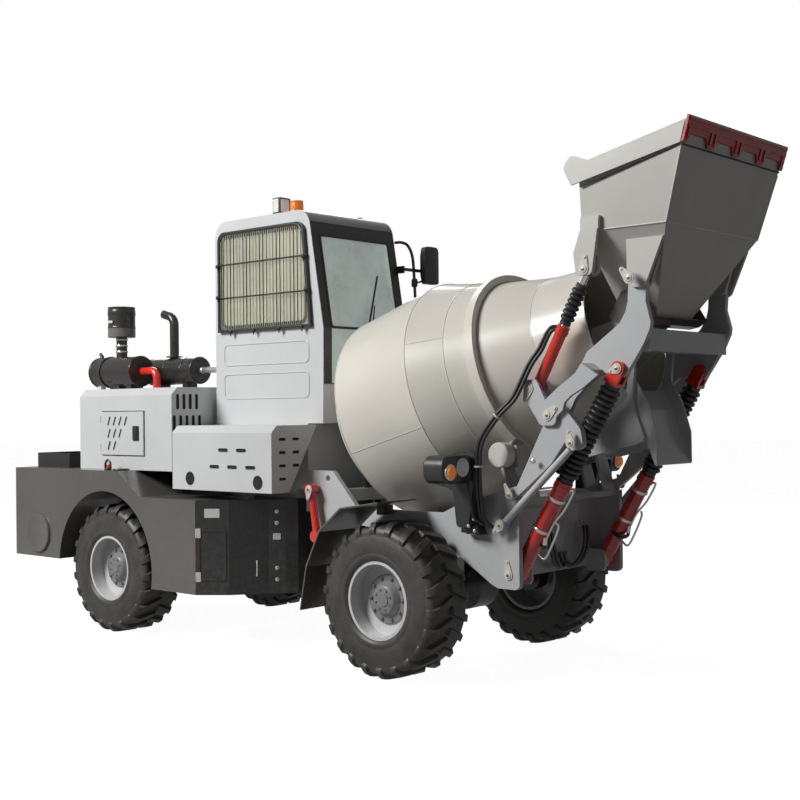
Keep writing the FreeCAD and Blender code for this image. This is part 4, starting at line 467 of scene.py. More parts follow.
hub_grey = enamel("hub_grey_enamel", (0.2, 0.2, 0.2), rough=0.42, dust=0.2, edge=0.002)
nut_steel = enamel("nut_steel", (0.1, 0.1, 0.1), rough=0.4, dust=0.2, edge=0.001)
dish_depth = 0.118
stud_circle, screw_circle = 0.145, 0.069
plate_face, nose_face = 0.014, 0.056           # how far the hub's two bolted faces stand out from the dish
hub_profile = [(0, 0.0), (0.0, 0.172), (0.008, 0.172), (plate_face, 0.166), (plate_face, 0.125),
               (0.03, 0.113), (0.046, 0.1), (0.052, 0.095), (nose_face, 0.088), (nose_face, 0.048),
               (0.062, 0.045), (0.062, 0.0)]
for end, hand in corners:
    label, wheel = f"rim_{end}_{hand}", f"wheel_{end}_{hand}"
    finish(wheel_silver, label)
    outward = 1 if hand == "left" else -1
    axis = np.array([0, outward, 0])
    tyre_low, tyre_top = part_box(f"tyre_{end}_{hand}")
    rim_low, rim_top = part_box(label)
    dish = np.array((tyre_low + tyre_top) / 2)
    dish[1] = rim_top.y - dish_depth if hand == "left" else rim_low.y + dish_depth
    piece(f"hub_plate_{end}_{hand}", [turned(hub_profile, dish, axis, 56)], hub_grey, wheel)
    studs = bolt_ring(dish + axis * (plate_face - 0.0002), axis, stud_circle, 10, 0.0125)
    cap_screws = bolt_ring(dish + axis * (nose_face - 0.0005), axis, screw_circle, 8, 0.007, 0.3)
    piece(f"wheel_nuts_{end}_{hand}", studs + cap_screws, nut_steel, wheel)
    valve_foot = dish + (0.205, outward * 0.001, 0.09)
    valve = [dome(0.011, 0.01, valve_foot, axis), dome(0.005, 0.045, valve_foot, axis)]
    piece(f"tyre_valve_{end}_{hand}", valve, tyre_rubber, wheel)

# ------------------------------------------------------------------ loader cylinders
# Red welded barrels with a bolted gland, ported by bent steel pipes, chromed rods, and
# pleated rubber boots over the rods.

boot_rubber = rubbery("boot_rubber", (0.02, 0.02, 0.021), 0.18, 0.42)


def bare_metal(name, colour, rough, metal, dust=0.1):
    """Plated or polished metal: the skin of painted steel without rub or clear coat, made metallic."""
    return surfaced(name, enamel_skin, {"Paint": (*colour, 1), "Rub": 0.0, "Dust": dust, "Roughness": rough,
                                        "Edge": 0.001}, metal=metal)


rod_chrome = bare_metal("rod_chrome", (0.75, 0.75, 0.76), 0.08, 1.0, dust=0.03)
zinc = bare_metal("zinc_plate", (0.62, 0.61, 0.58), 0.3, 0.85)
finish(rod_chrome, "tilt_rods")


def pleats(start, end, valley, crest, folds, collar):
    """A boot about its rod: radius = valley + (crest - valley) * |sin| ** 0.75, with a collar at each end."""
    start, end = np.asarray(start, float), np.asarray(end, float)
    length = np.linalg.norm(end - start)
    along = np.linspace(0, 1, folds * 8 + 1)
    swell = np.abs(np.sin(along * folds * math.pi)) ** 0.75
    body = np.stack([0.03 + along * (length - 0.06), valley + (crest - valley) * swell], -1)
    bore = valley * 0.8
    near_cuff = [(0, bore), (0, collar), (0.024, collar), (0.026, valley)]
    far_cuff = [(length - 0.026, valley), (length - 0.024, collar), (length, collar), (length, bore),
                (0, bore)]
    return turned(np.vstack([near_cuff, body, far_cuff]), start, end - start, 32)


def tube(path, radius, aside=(0, 1, 0), sides=12):
    """A round bar carried along path: rings square to its tangent, with capped ends."""
    path = np.asarray(path, float)
    ahead = np.gradient(path, axis=0)
    ahead /= np.linalg.norm(ahead, axis=1)[:, None]
    first = np.cross(ahead, np.asarray(aside, float))
    first /= np.linalg.norm(first, axis=1)[:, None]
    second = np.cross(ahead, first)
    angle = np.arange(sides) / sides * 2 * math.pi
    ring = np.cos(angle)[None, :, None] * first[:, None] + np.sin(angle)[None, :, None] * second[:, None]
    wide = np.broadcast_to(np.asarray(radius, float), (len(path),))
    points = path[:, None] + wide[:, None, None] * ring
    foot, head = (np.repeat(end[:, None], sides, 1) for end in (path[:1], path[-1:]))
    return woven(np.concatenate([foot, points, head]), around=True)


def flowing(points, per_span=8):
    """A smooth line through points: each span is the cubic whose ends lean along their neighbours."""
    points = np.asarray(points, float)
    padded = np.vstack([2 * points[0] - points[1], points, 2 * points[-1] - points[-2]])
    before, here, there, after = padded[:-3, None], padded[1:-2, None], padded[2:-1, None], padded[3:, None]
    t = np.linspace(0, 1, per_span, endpoint=False)[None, :, None]
    spans = 0.5 * (2 * here + (there - before) * t + (2 * before - 5 * here + 4 * there - after) * t ** 2
                   + (3 * here - before - 3 * there + after) * t ** 3)
    return np.vstack([spans.reshape(-1, 3), points[-1:]])


# The loader's pins, each as (x, z), and how far its lift and tilt cylinders lie from the middle.
lift_foot, clevis = np.array([1.912, 0.735]), np.array([2.724, 2.087])
horn, ram_pin = np.array([2.123, 1.971]), np.array([2.534, 2.720])
arm_pivot, bucket_pivot = np.array([2.268, 1.796]), np.array([2.864, 2.640])
lift_aside, tilt_aside = 0.52, 0.59
lift_barrel_radius, tilt_barrel_radius = 0.055, 0.040
gland_length = 0.062


def along_cylinder(foot, head, middle, distance):
    """A point this far from foot towards head, on the lateral plane y = middle."""
    way = (head - foot) / np.linalg.norm(head - foot)
    spot = foot + way * distance
    return np.array([spot[0], middle, spot[1]])


def way_of(foot, head):
    """The unit vector from a cylinder's foot to its head."""
    return along_cylinder(foot, head, 0, 1) - along_cylinder(foot, head, 0, 0)


lift_boot_end = 1.464          # along the lift cylinder, from its foot
for hand, outward in (("left", 1), ("right", -1)):
    for name, foot, head, middle, first, last, valley, crest, folds, collar in (
            ("lift", lift_foot, clevis, outward * lift_aside, 0.742, lift_boot_end, 0.045, 0.069, 17, 0.052),
            ("tilt", horn, ram_pin, outward * tilt_aside, 0.467, 0.752, 0.032, 0.0495, 6, 0.037)):
        ends = [along_cylinder(foot, head, middle, distance) for distance in (first, last)]
        piece(f"{name}_boot_{hand}", [pleats(*ends, valley, crest, folds, collar)], boot_rubber,
              f"{name}_rods", crease=60, stands_for=(f"{name}_bellows",))
    for name, foot, head, middle, mouth, foot_weld, wide in (
            ("lift", lift_foot, clevis, outward * lift_aside, 0.735, 0.085, lift_barrel_radius),
            ("tilt", horn, ram_pin, outward * tilt_aside, 0.46, 0.06, tilt_barrel_radius)):
        way = way_of(foot, head)
        gland = [(0, wide), (0.004, wide + 0.006), (0.03, wide + 0.006), (0.034, wide + 0.001),
                 (0.04, wide + 0.001), (0.043, wide + 0.004), (0.058, wide + 0.004), (0.0618, wide),
                 (0.0618, wide - 0.004), (0, wide - 0.004), (0, wide)]
        gland_at = along_cylinder(foot, head, middle, mouth - gland_length)
        piece(f"{name}_gland_{hand}", [turned(gland, gland_at, way, 40)], oil_red, f"{name}_barrels")
        weld = [(0, wide - 0.002), (0.004, wide + 0.003), (0.009, wide + 0.004), (0.014, wide + 0.003),
                (0.018, wide - 0.002), (0, wide - 0.002)]
        weld_at = along_cylinder(foot, head, middle, foot_weld)
        piece(f"{name}_foot_weld_{hand}", [turned(weld, weld_at, way, 36)], oil_red, f"{name}_barrels")

# ------------------------------------------------------------------ pins and keepers
# Each loader pin is locked by a teardrop plate of pale steel: a round boss over the
# pin's end with a grease nipple, and a tail held to the lug by one cap screw.


def slab(outline, thickness, origin, right_way, up_way):
    """A flat plate: the outline in the plane of right_way and up_way, given thickness along their cross."""
    outline = np.asarray(outline, float)
    right_way, up_way = np.asarray(right_way, float), np.asarray(up_way, float)
    lift = np.cross(right_way, up_way) * thickness
    face = np.asarray(origin, float) + outline[:, :1] * right_way + outline[:, 1:] * up_way
    count = len(outline)
    here = np.arange(count)
    after = np.roll(here, -1)
    sides = np.stack([here, after, after + count, here + count], -1).tolist()
    return np.vstack([face, face + lift]), sides + [here[::-1].tolist(), (here + count).tolist()]


def teardrop(radius, tail_radius, reach, direction):
    """The hull of two circles: a boss at the origin and a small tail at reach along direction."""
    lean_out = math.acos((radius - tail_radius) / reach)
    big = np.linspace(direction + lean_out, direction + 2 * math.pi - lean_out, 28)
    small = np.linspace(direction - lean_out, direction + lean_out, 14)
    boss = radius * np.stack([np.cos(big), np.sin(big)], -1)
    tip = reach * np.array([math.cos(direction), math.sin(direction)])
    return np.vstack([boss, tip + tail_radius * np.stack([np.cos(small), np.sin(small)], -1)])


keeper_steel = enamel("keeper_steel", (0.66, 0.64, 0.6), rough=0.38, rub=0.0, dust=0.12, coat=0.0, edge=0.001)
brass_nipple = bare_metal("brass_nipple", (0.42, 0.27, 0.1), 0.35, 0.8)


def keeper(name, spot, outer_y, outward, direction, body, radius=0.037, reach=0.075):
    """One pin's lock plate, its cap screw and its grease nipple, lying on the lug's face at outer_y."""
    origin = np.array([spot[0], outer_y * outward, spot[1]])
    plate_thick, boss_rise, screw_rise = 0.006, 0.011, 0.012
    tail_radius, boss_radius, screw_radius = radius * 0.45, radius * 0.72, radius * 0.26
    shape = teardrop(radius, tail_radius, reach, direction) * (-outward, 1)
    plate = slab(shape, plate_thick, origin, -outward * along_x, straight_up)
    axis = (0, outward, 0)
    boss = dome(boss_radius, boss_rise, origin, axis, 28)
    screw_at = origin + reach * np.array([math.cos(direction), 0, math.sin(direction)])
    screw = dome(screw_radius, screw_rise, screw_at, axis, 12)
    piece(f"{name}_keeper", [plate, boss, screw], keeper_steel, body, bevel=0.0012)
    nipple = [(0, 0), (0, 0.011), (0.003, 0.011), (0.004, 0.006), (0.01, 0.005), (0.012, 0.003), (0.012, 0)]
    nipple_at = origin + (0, (boss_rise - 0.0005) * outward, 0)
    piece(f"{name}_nipple", [turned(nipple, nipple_at, axis, 12)], brass_nipple, body)


# How far the lugs' outer faces lie from the middle.
arm_face, clevis_face, ear_face, upright_face = 0.6815, 0.571, 0.646, 0.6915
for hand, outward in (("left", 1), ("right", -1)):
    keeper(f"arm_pivot_{hand}", arm_pivot, arm_face, outward, math.radians(35), "lift_arms")
    keeper(f"horn_{hand}", horn, arm_face, outward, math.radians(250), "lift_arms")
    keeper(f"clevis_{hand}", clevis, clevis_face, outward, math.radians(200), "lift_rods", 0.034, 0.05)
    keeper(f"bucket_pivot_{hand}", bucket_pivot, ear_face, outward, math.radians(132), "bucket")
    keeper(f"ram_pin_{hand}", ram_pin, ear_face, outward, math.radians(80), "bucket")

# ------------------------------------------------------------------ drum
# Rolled and welded steel shell under cream enamel. Low weld seams ring it where its cone
# changes, and one runs along each course. Two spiral blades line its inside.

drum_tilt = math.radians(16.27)
drum_axis = np.array([math.cos(drum_tilt), 0, math.sin(drum_tilt)])
drum_start = np.array([-0.438, 0, 1.521])
drum_profile = np.array([(0.655, 0.25), (0.79, 0.61), (0.968, 0.789), (1.702, 0.818), (1.978, 0.718),
                         (2.188, 0.648), (2.6, 0.53), (3.0, 0.47)])
drum_wall = 0.01


def on_drum(distance, angle, radius):
    """Points at this distance along the drum's axis, angle about it from +Y, and radius."""
    upright = np.array([-math.sin(drum_tilt), 0, math.cos(drum_tilt)])
    angle = np.asarray(angle)[..., None]
    radial = np.cos(angle) * np.array([0, 1, 0]) + np.sin(angle) * upright
    return drum_start + np.asarray(distance)[..., None] * drum_axis + np.asarray(radius)[..., None] * radial


def shell_radius(distance):
    """The shell's outer radius at a distance along the axis."""
    return np.interp(distance, drum_profile[:, 0], drum_profile[:, 1])


weld_rise, weld_sunk = 0.0022, 0.003
seams = []
for place_along in (0.79, 0.968, 1.702, 1.978, 2.6):
    low, high = shell_radius(place_along) - weld_sunk, shell_radius(place_along) + weld_rise
    seams.append(turned([(-0.006, low), (-0.003, high), (0.003, high), (0.006, low), (-0.006, low)],
                        drum_start + drum_axis * place_along, drum_axis, 96))
for first, last, angle in ((0.975, 1.695, 3.5), (1.71, 1.97, 2.75), (1.99, 2.148, 4.1), (2.23, 2.59, 0.4)):
    run = np.linspace(first, last, 12)
    seams.append(tube(on_drum(run, np.full(12, angle), shell_radius(run) - 0.001), 0.0034, sides=8))
piece("drum_weld_seams", seams, drum_cream, "drum")

blade_steel = enamel("worn_blade_steel", (0.25, 0.24, 0.22), rough=0.5, rub=0.5, dust=0.6, edge=0.003)
blade_turns, blade_half_thickness = 1.6, 0.003


def spiral_blade(start_angle):
    """A helicoid: angle = start + 1.6 turns * share of the way along; its depth first grows, then tapers."""
    along = np.linspace(0.98, 2.96, 90)
    angle = start_angle + (along - along[0]) / (along[-1] - along[0]) * blade_turns * 2 * math.pi
    outside = shell_radius(along) - drum_wall - 0.004
    inside = outside - np.interp(along, [0.98, 1.3, 2.4, 2.96], [0.08, 0.24, 0.2, 0.13])
    behind, ahead = along - blade_half_thickness, along + blade_half_thickness
    ring = np.stack([on_drum(behind, angle, outside), on_drum(behind, angle, inside),
                     on_drum(ahead, angle, inside), on_drum(ahead, angle, outside)], 1)
    ends = [np.repeat(row.mean(1, keepdims=True), 4, 1) for row in (ring[:1], ring[-1:])]
    return woven(np.concatenate([ends[0], ring, ends[1]]), around=True)


piece("drum_blades", [spiral_blade(0.3), spiral_blade(0.3 + math.pi)], blade_steel, "drum")
ring_steel = enamel("rolling_ring_steel", (0.34, 0.33, 0.31), rough=0.35, rub=0.6, dust=0.3, edge=0.003)
ring_at, ring_radius, ring_half_width, ring_depth = 2.188, 0.692, 0.0354, 0.03
ring_profile = [(-ring_half_width, ring_radius - ring_depth), (-ring_half_width, ring_radius - 0.004),
                (-0.031, ring_radius - 0.0002), (0.031, ring_radius - 0.0002),
                (ring_half_width, ring_radius - 0.004), (ring_half_width, ring_radius - ring_depth),
                (-ring_half_width, ring_radius - ring_depth)]
piece("drum_rolling_ring", [turned(ring_profile, drum_start + drum_axis * ring_at, drum_axis, 96)],
      drum_cream, "drum")
for hand in ("left", "right"):
    finish(ring_steel, f"roller_{hand}")

# ------------------------------------------------------------------ engine hood
# A folded sheet hood with bevelled top edges. Each side has a hinged door with slanted
# slots and a sunk black paddle latch, and the front panel has two rows of slots.


def capsule(length, width, lean):
    """A slot's outline: a rectangle with half-round ends, turned by lean."""
    turn_up = np.linspace(-math.pi / 2, math.pi / 2, 7)
    half, radius = length / 2 - width / 2, width / 2
    high = np.stack([half + radius * np.cos(turn_up), radius * np.sin(turn_up)], -1)
    outline = np.vstack([high, -high])
    c, s = math.cos(lean), math.sin(lean)
    return outline @ np.array([[c, s], [-s, c]])


def rounded(width, height, radius):
    """A rectangle's outline about the origin with round corners."""
    quarter = np.linspace(0, math.pi / 2, 6)
    arc = np.stack([np.cos(quarter), np.sin(quarter)], -1) * radius
    corner = np.array([width / 2 - radius, height / 2 - radius])
    turns = [np.array([[1, 0], [0, 1]]), np.array([[0, 1], [-1, 0]]), np.array([[-1, 0], [0, -1]]),
             np.array([[0, -1], [1, 0]])]
    signs = [(1, 1), (-1, 1), (-1, -1), (1, -1)]
    return np.vstack([arc @ turn + corner * sign for turn, sign in zip(turns, signs)])


def ringed(rows, origin, right_way, up_way):
    """A closed band through outlines: each row is an outline and its rise over the plane at origin."""
    right_way, up_way = np.asarray(right_way, float), np.asarray(up_way, float)
    origin, out = np.asarray(origin, float), np.cross(right_way, up_way)
    grid = np.stack([origin + shape[:, :1] * right_way + shape[:, 1:] * up_way + out * rise
                     for shape, rise in rows], 1)
    return woven(grid, around=True, along=True)


def slots(places, length, width, lean, origin, right_way, up_way):
    """Punched slots in a plate: a pressed rim round each, and inside it a thin black plate, painted shade for
    the dark inside seen through the opening.
    """
    out, pressed = np.cross(right_way, up_way), 0.0018
    inner, outer = capsule(length, width, lean), capsule(length + 0.008, width + 0.008, lean)
    rows = [(outer, -0.0005), (outer * 0.97, pressed * 0.8), (inner, pressed), (inner * 0.97, -0.0005)]
    centres = [np.asarray(origin, float) + aside * right_way + above * up_way for aside, above in places]
    rims = [ringed(rows, centre, right_way, up_way) for centre in centres]
    # Each opening is a thin black plate: painted shade.
    holes = [slab(inner * 0.985, 0.001, centre - out * 0.0004, right_way, up_way) for centre in centres]
    return rims, holes


# Matte black for slots and holes: painted shade, standing for the dark inside seen through an opening.
painted_shade_black = enamel("opening_painted_shade", (0.004, 0.004, 0.004), rough=0.8, rub=0.0, dust=0.0, coat=0.0,
                    edge=0.001)
latch_plastic = rubbery("latch_plastic", (0.016, 0.016, 0.017), 0.05, 0.35, 600.0)


def slotted(rim_name, slot_name, body, *places_and_frame):
    """Rides the pressed rims, and the black plates of painted shade in the openings, of a group of slots on a
    body, as two pieces.
    """
    rims, holes = slots(*places_and_frame)
    piece(rim_name, rims, pale_grey, body)
    piece(slot_name, holes, painted_shade_black, body)


door_skin, door_slot_lean = 0.934, math.radians(66)
for hand, outward in (("left", 1), ("right", -1)):
    body = f"hood_door_{hand}"
    door_low, door_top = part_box(body)
    forward, out = -outward * along_x, outward * along_y
    origin = np.array([(door_low.x + door_top.x) / 2, door_skin * outward, (door_low.z + door_top.z) / 2])
    places = [(-0.17 + 0.078 * step, height) for height, count in ((0.105, 4), (0.0, 3), (-0.105, 2))
              for step in range(count)]
    slotted(f"hood_door_slot_rims_{hand}", f"hood_door_slots_{hand}", body, places, 0.085, 0.017,
            door_slot_lean, origin, forward, straight_up)
    latch_at = origin + forward * 0.205
    cup = slab(rounded(0.085, 0.125, 0.012), 0.005, latch_at, forward, straight_up)
    paddle = slab(rounded(0.052, 0.075, 0.008), 0.006, latch_at + out * 0.004 + straight_up * 0.015, forward,
                  straight_up)
    lock = dome(0.011, 0.006, latch_at + out * 0.005 - straight_up * 0.044, out)
    piece(f"hood_door_latch_{hand}", [cup, paddle, lock], latch_plastic, body, bevel=0.0015)

hood_front = (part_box("engine_hood")[1].x, 0, 0)
for hand, outward in (("right", -1), ("left", 1)):
    places = [((start + 0.066 * step) * outward, height)
              for start, height, count in ((0.66, 1.93, 4), (0.63, 1.755, 5)) for step in range(count)]
    slotted(f"hood_front_slot_rims_{hand}", f"hood_front_slots_{hand}", "rear_chassis", places, 0.13, 0.03,
            math.pi / 2, hood_front, along_y, straight_up)

# ------------------------------------------------------------------ side boxes
# Tank covers beside the cab: bevelled sheet boxes with level slots in their sides and
# fronts, and a round hole at each end of the foot for filler and drain.

box_side, box_front = 0.97, (-0.033, 0, 0)
port_rim = [(-0.0005, 0.062), (0.0012, 0.061), (0.0008, 0.055), (-0.0005, 0.054)]
port_hole = [(-0.0006, 0.0), (-0.0006, 0.055), (0.0004, 0.055), (0.0004, 0.0)]
for hand, outward in (("left", 1), ("right", -1)):
    ahead = -outward
    forward, out = ahead * along_x, outward * along_y
    origin = np.array([-0.62, box_side * outward, 1.5])
    places = [(x * ahead, z) for x, z in ((0.035, 0.045), (0.245, 0.045), (-0.07, -0.085), (0.14, -0.085),
                                          (0.35, -0.085))]
    slotted(f"side_box_slot_rims_{hand}", f"side_box_slots_{hand}", "rear_chassis", places, 0.115, 0.028, 0.0,
            origin, forward, straight_up)
    ports = [origin + forward * x * ahead + straight_up * z for x, z in ((-0.368, -0.185), (0.432, -0.197))]
    piece(f"side_box_port_rims_{hand}", [turned(port_rim, spot, out, 40) for spot in ports], pale_grey,
          "rear_chassis")
    # The black disc in each port is painted shade inside the hole.
    piece(f"side_box_ports_{hand}", [turned(port_hole, spot, out, 40) for spot in ports], painted_shade_black,
          "rear_chassis")
    # Two slots a row, and one in the lowest.
    places = [(y * outward, z) for z in (1.63, 1.53, 1.43, 1.33) for y in (0.86, 0.72)][:7]
    slotted(f"side_box_front_rims_{hand}", f"side_box_front_slots_{hand}", "rear_chassis", places, 0.07,
            0.022, 0.0, box_front, along_y, straight_up)

# ------------------------------------------------------------------ air cleaner and muffler
# Spun steel drums lying on the hood in satin black. The cleaner has a clamped end cup with
# a rubber dust valve, and breathes through a pre-cleaner; the muffler has rolled seams, a
# flanged tail pipe and a zinc sleeve at its inlet.

warm_black = enamel("stove_black_enamel", (0.03, 0.027, 0.024), rough=0.28, rub=0.15, dust=0.2, coat=0.2,
                    edge=0.002)
clear_bowl = rubbery("smoked_plastic", (0.16, 0.155, 0.145), 0.1, 0.2, 500.0)
finish(warm_black, "air_cleaner", "muffler", "exhaust_pipes")
intake_y = -0.55
cleaner, cleaner_radius = np.array([-2.768, intake_y, 2.21]), 0.135


def hoop(at, radius, wide, proud):
    """A rounded band round a drum: profile across its width, closed under the skin."""
    start, end, sunk = at - wide / 2, at + wide / 2, radius - 0.003
    return [(start, sunk), (start, radius + proud * 0.6), (start + proud, radius + proud),
            (end - proud, radius + proud), (end, radius + proud * 0.6), (end, sunk), (start, sunk)]


bands = [turned(hoop(at, cleaner_radius, wide, proud), cleaner, along_x, 64) for at, wide, proud in
         ((0.012, 0.02, 0.004), (0.15, 0.03, 0.006), (0.17, 0.008, 0.009), (0.597, 0.012, 0.003))]
end_cup = [(-0.002, 0.0), (-0.002, 0.05), (-0.006, 0.055), (-0.006, 0.075), (-0.002, 0.08), (-0.001, 0.12),
           (0.004, 0.134), (0.01, 0.0)]
piece("cleaner_bands", bands + [turned(end_cup, cleaner, along_x, 48)], warm_black, "rear_chassis")
valve_path = flowing([(-2.745, intake_y, 2.338), (-2.752, intake_y, 2.36), (-2.772, intake_y, 2.386)], 6)
piece("cleaner_dust_valve", [tube(valve_path, np.linspace(0.022, 0.014, len(valve_path)), sides=16)],
      boot_rubber, "rear_chassis")
stack = np.array([-2.448, intake_y, 2.52])
lid = [(0.075, 0.1185), (0.082, 0.123), (0.092, 0.123), (0.098, 0.1195), (0.19, 0.1195), (0.196, 0.123),
       (0.235, 0.123), (0.252, 0.117), (0.262, 0.104), (0.268, 0.08), (0.2705, 0.04), (0.2712, 0.0),
       (0.08, 0.0)]
piece("precleaner_lid", [turned(lid, stack, straight_up, 64)], warm_black, "rear_chassis")
bowl = [(-0.0008, 0.05), (-0.0008, 0.116), (0.004, 0.1215), (0.08, 0.1215), (0.08, 0.05)]
piece("precleaner_bowl", [turned(bowl, stack, straight_up, 64)], clear_bowl, "rear_chassis")
neck = stack - (0, 0, 0.175)
piece("precleaner_neck_clamps", [turned(hoop(at, 0.048, 0.016, 0.006), neck, straight_up, 40)
                                 for at in (0.045, 0.1, 0.155)], zinc, "rear_chassis")
blank_badge = slab(rounded(0.07, 0.022, 0.006), 0.003, stack + (0, -0.1225, 0.135), along_x, straight_up)
piece("precleaner_blank_badge", [blank_badge], keeper_steel, "rear_chassis", bevel=0.001)
foot = slab(rounded(0.05, 0.03, 0.004), 0.05, (-2.6, -0.635, 2.068), along_x, straight_up)
piece("cleaner_foot_block", [foot], keeper_steel, "rear_chassis", bevel=0.002)

muffler, muffler_radius = np.array([-2.388, -0.25, 2.21]), 0.118
seams = [turned(hoop(at, muffler_radius, 0.012, 0.003), muffler, along_x, 56)
         for at in (0.01, 0.28, 0.52, 0.66)]
piece("muffler_seams", seams, warm_black, "rear_chassis")
tail_foot = muffler + (0.31, 0, 0.126)
flange = [(0, 0.0), (0, 0.075), (0.007, 0.075), (0.0075, 0.05), (0.012, 0.05), (0.018, 0.041), (0.018, 0)]
flange_bolts = bolt_ring(tail_foot + straight_up * 0.006, straight_up, 0.063, 3, 0.008)
piece("tail_pipe_flange", [turned(flange, tail_foot, straight_up, 30)] + flange_bolts, warm_black,
      "rear_chassis")
inlet, inlet_radius = muffler + (0.67, 0, 0), 0.0265
sleeve = [(0, 0), (0, inlet_radius), (0.32, inlet_radius), (0.32, 0)]
piece("muffler_inlet_clamp", [turned(hoop(0.03, inlet_radius - 0.0005, 0.02, 0.005), inlet, along_x, 30),
                              turned(sleeve, inlet, along_x, 30)], zinc, "rear_chassis")

# ------------------------------------------------------------------ cab shell and glass
# A welded sheet cab with pressed beads in its lower sides, a black windscreen frame and
# lightly green laminated glass in rubber seals. The windscreen has one wiper.


def pane(name, tint, gloss):
    """Laminated glass: over half see-through, the rest a pale veil that is partly dust and glows as a painted
    sky reflection, brighter cream on the near side as painted light; a mirror at grazing angles.
    """
    made, tree, out = blank_material(name)
    place = node(tree, "TexCoord").outputs["Object"]
    # The veil's share, from noise: where it covers, the glass shows the painted glow.
    veil_share = ranged(tree, noise(tree, place, 3.0, 6.0, 0.7), 0.35, 0.75, 0.34, 0.48)
    clear = node(tree, "BsdfTransparent", {"Color": (*tint, 1)})
    across = node(tree, "SeparateXYZ", {0: place}).outputs["Y"]
    # Near side, y below -0.45: a brighter cream glow, painted light on the lit side.
    side = ranged(tree, across, -0.46, -0.44)
    shade = mixed(tree, side, (0.8, 0.81, 0.63, 1), (0.6, 0.68, 0.65, 1))
    # The node named dust is a dust veil that also glows: its emission is painted light for the sky seen in
    # the glass.
    dust = node(tree, "BsdfPrincipled", {"Base Color": shade, "Roughness": 0.5, "Emission Color": shade,
                                         "Emission Strength": 0.95})
    veiled = node(tree, "MixShader", {0: veil_share, 1: clear.outputs[0], 2: dust.outputs[0]})
    mirror = node(tree, "BsdfGlossy", {"Color": (0.95, 1.0, 0.97, 1), "Roughness": 0.02})
    facing = node(tree, "Fresnel", {"IOR": 1.5}).outputs[0]
    share = maths(tree, "ADD", facing, gloss, clamp=True)
    both = node(tree, "MixShader", {0: share, 1: veiled.outputs[0], 2: mirror.outputs[0]})
    tree.links.new(both.outputs[0], out.inputs["Surface"])
    return made


cab_paint = enamel("cab_grey_enamel", (0.6, 0.607, 0.61), dust=0.1)
tinted_glass = pane("tinted_glass", (0.86, 0.93, 0.84), 0.05)
finish(cab_paint, "cab_shell", "cab_roof")
finish(tinted_glass, "cab_glass", "door_glass")
seal_rubber = rubbery("seal_rubber", (0.01, 0.01, 0.01), 0.1, 0.45, 700.0)


def band(outer, inner, thick, origin, right_way, up_way):
    """A flat ring between two outlines of equal point count, given thickness and closed all round."""
    rows = [(outer, -0.0005), (outer, thick), (inner, thick), (inner, -0.0005)]
    return ringed(rows, origin, right_way, up_way)


brow = np.array([-0.158, 0, 0.935]) / math.hypot(0.158, 0.935)
down = np.array([0.01, 0, 0.745]) / math.hypot(0.01, 0.745)
waist = np.array([0.042, 0, 2.49])
half_opening, half_cab = 0.394, 0.478
opening_head, cab_head = 0.742, 0.848          # up from the waist
opening_sill, cab_sill = -0.434, -0.44
above_waist = [(-half_cab, 0.0), (-half_cab, cab_head), (half_cab, cab_head), (half_cab, 0.0),
               (half_opening, 0.0), (half_opening, opening_head), (-half_opening, opening_head),
               (-half_opening, 0.0)]
below_waist = [(-half_cab, cab_sill), (-half_cab, 0.0), (-half_opening, 0.0), (-half_opening, opening_sill),
               (half_opening, opening_sill), (half_opening, 0.0), (half_cab, 0.0), (half_cab, cab_sill)]
surround = [slab(above_waist, 0.004, waist, along_y, brow), slab(below_waist, 0.004, waist, along_y, down)]
piece("windscreen_surround", surround, trim_black, "rear_chassis")
screen_middle = np.array([0, 0.372])
seal = band(rounded(0.81, 0.76, 0.03) + screen_middle, rounded(0.77, 0.72, 0.02) + screen_middle, 0.008,
            waist, along_y, brow)
piece("windscreen_seal", [seal], seal_rubber, "rear_chassis", bevel=0.002)
wiper_foot = waist + (0.012, -0.05, 0) - down * 0.3
wiper_path = flowing([wiper_foot, waist + (0.022, 0.04, 0) - down * 0.05,
                      waist + (0.026, 0.11, 0) + brow * 0.2])
wiper_boss = dome(0.02, 0.02, wiper_foot - (0.008, 0, 0), along_x)
piece("wiper_arm", [tube(wiper_path, np.linspace(0.009, 0.005, len(wiper_path)), sides=10), wiper_boss],
      trim_black, "rear_chassis")
blade_path = np.linspace(waist + (0.017, 0, 0) - brow * 0.02, waist + (0.017, 0.2, 0) + brow * 0.45, 14)
piece("wiper_blade", [tube(blade_path, 0.008, sides=8)], seal_rubber, "rear_chassis")
cab_side = -0.485
seal = band(rounded(1.0, 0.77, 0.05), rounded(0.95, 0.72, 0.04), 0.006, (-0.638, cab_side, 2.915), along_x,
            straight_up)
piece("near_window_seal", [seal], seal_rubber, "rear_chassis", bevel=0.002)


def bead(width, height, radius, ridge, origin, right_way, up_way):
    """A pressed bead round a rounded outline: a half-round ridge as wide as ridge and 0.42 as tall."""
    section = [(1.0, -0.001), (0.75, 0.32), (0.25, 0.42), (-0.25, 0.42), (-0.75, 0.32), (-1.0, -0.001)]
    rows = [(rounded(width + ridge * off, height + ridge * off, radius + ridge * off / 2), rise * ridge)
            for off, rise in section]
    return ringed(rows, origin, right_way, up_way)


beads = [bead(1.0, height, 0.04, 0.013, (-0.62, cab_side, middle), along_x, straight_up)
         for height, middle in ((0.17, 2.31), (0.2, 2.05))]
piece("cab_side_beads", beads, cab_paint, "rear_chassis")

# ------------------------------------------------------------------ window guard
# A bent black tube frame with cream upright wires on struts, held by hand knobs so that it
# can be taken off to clean the glass.

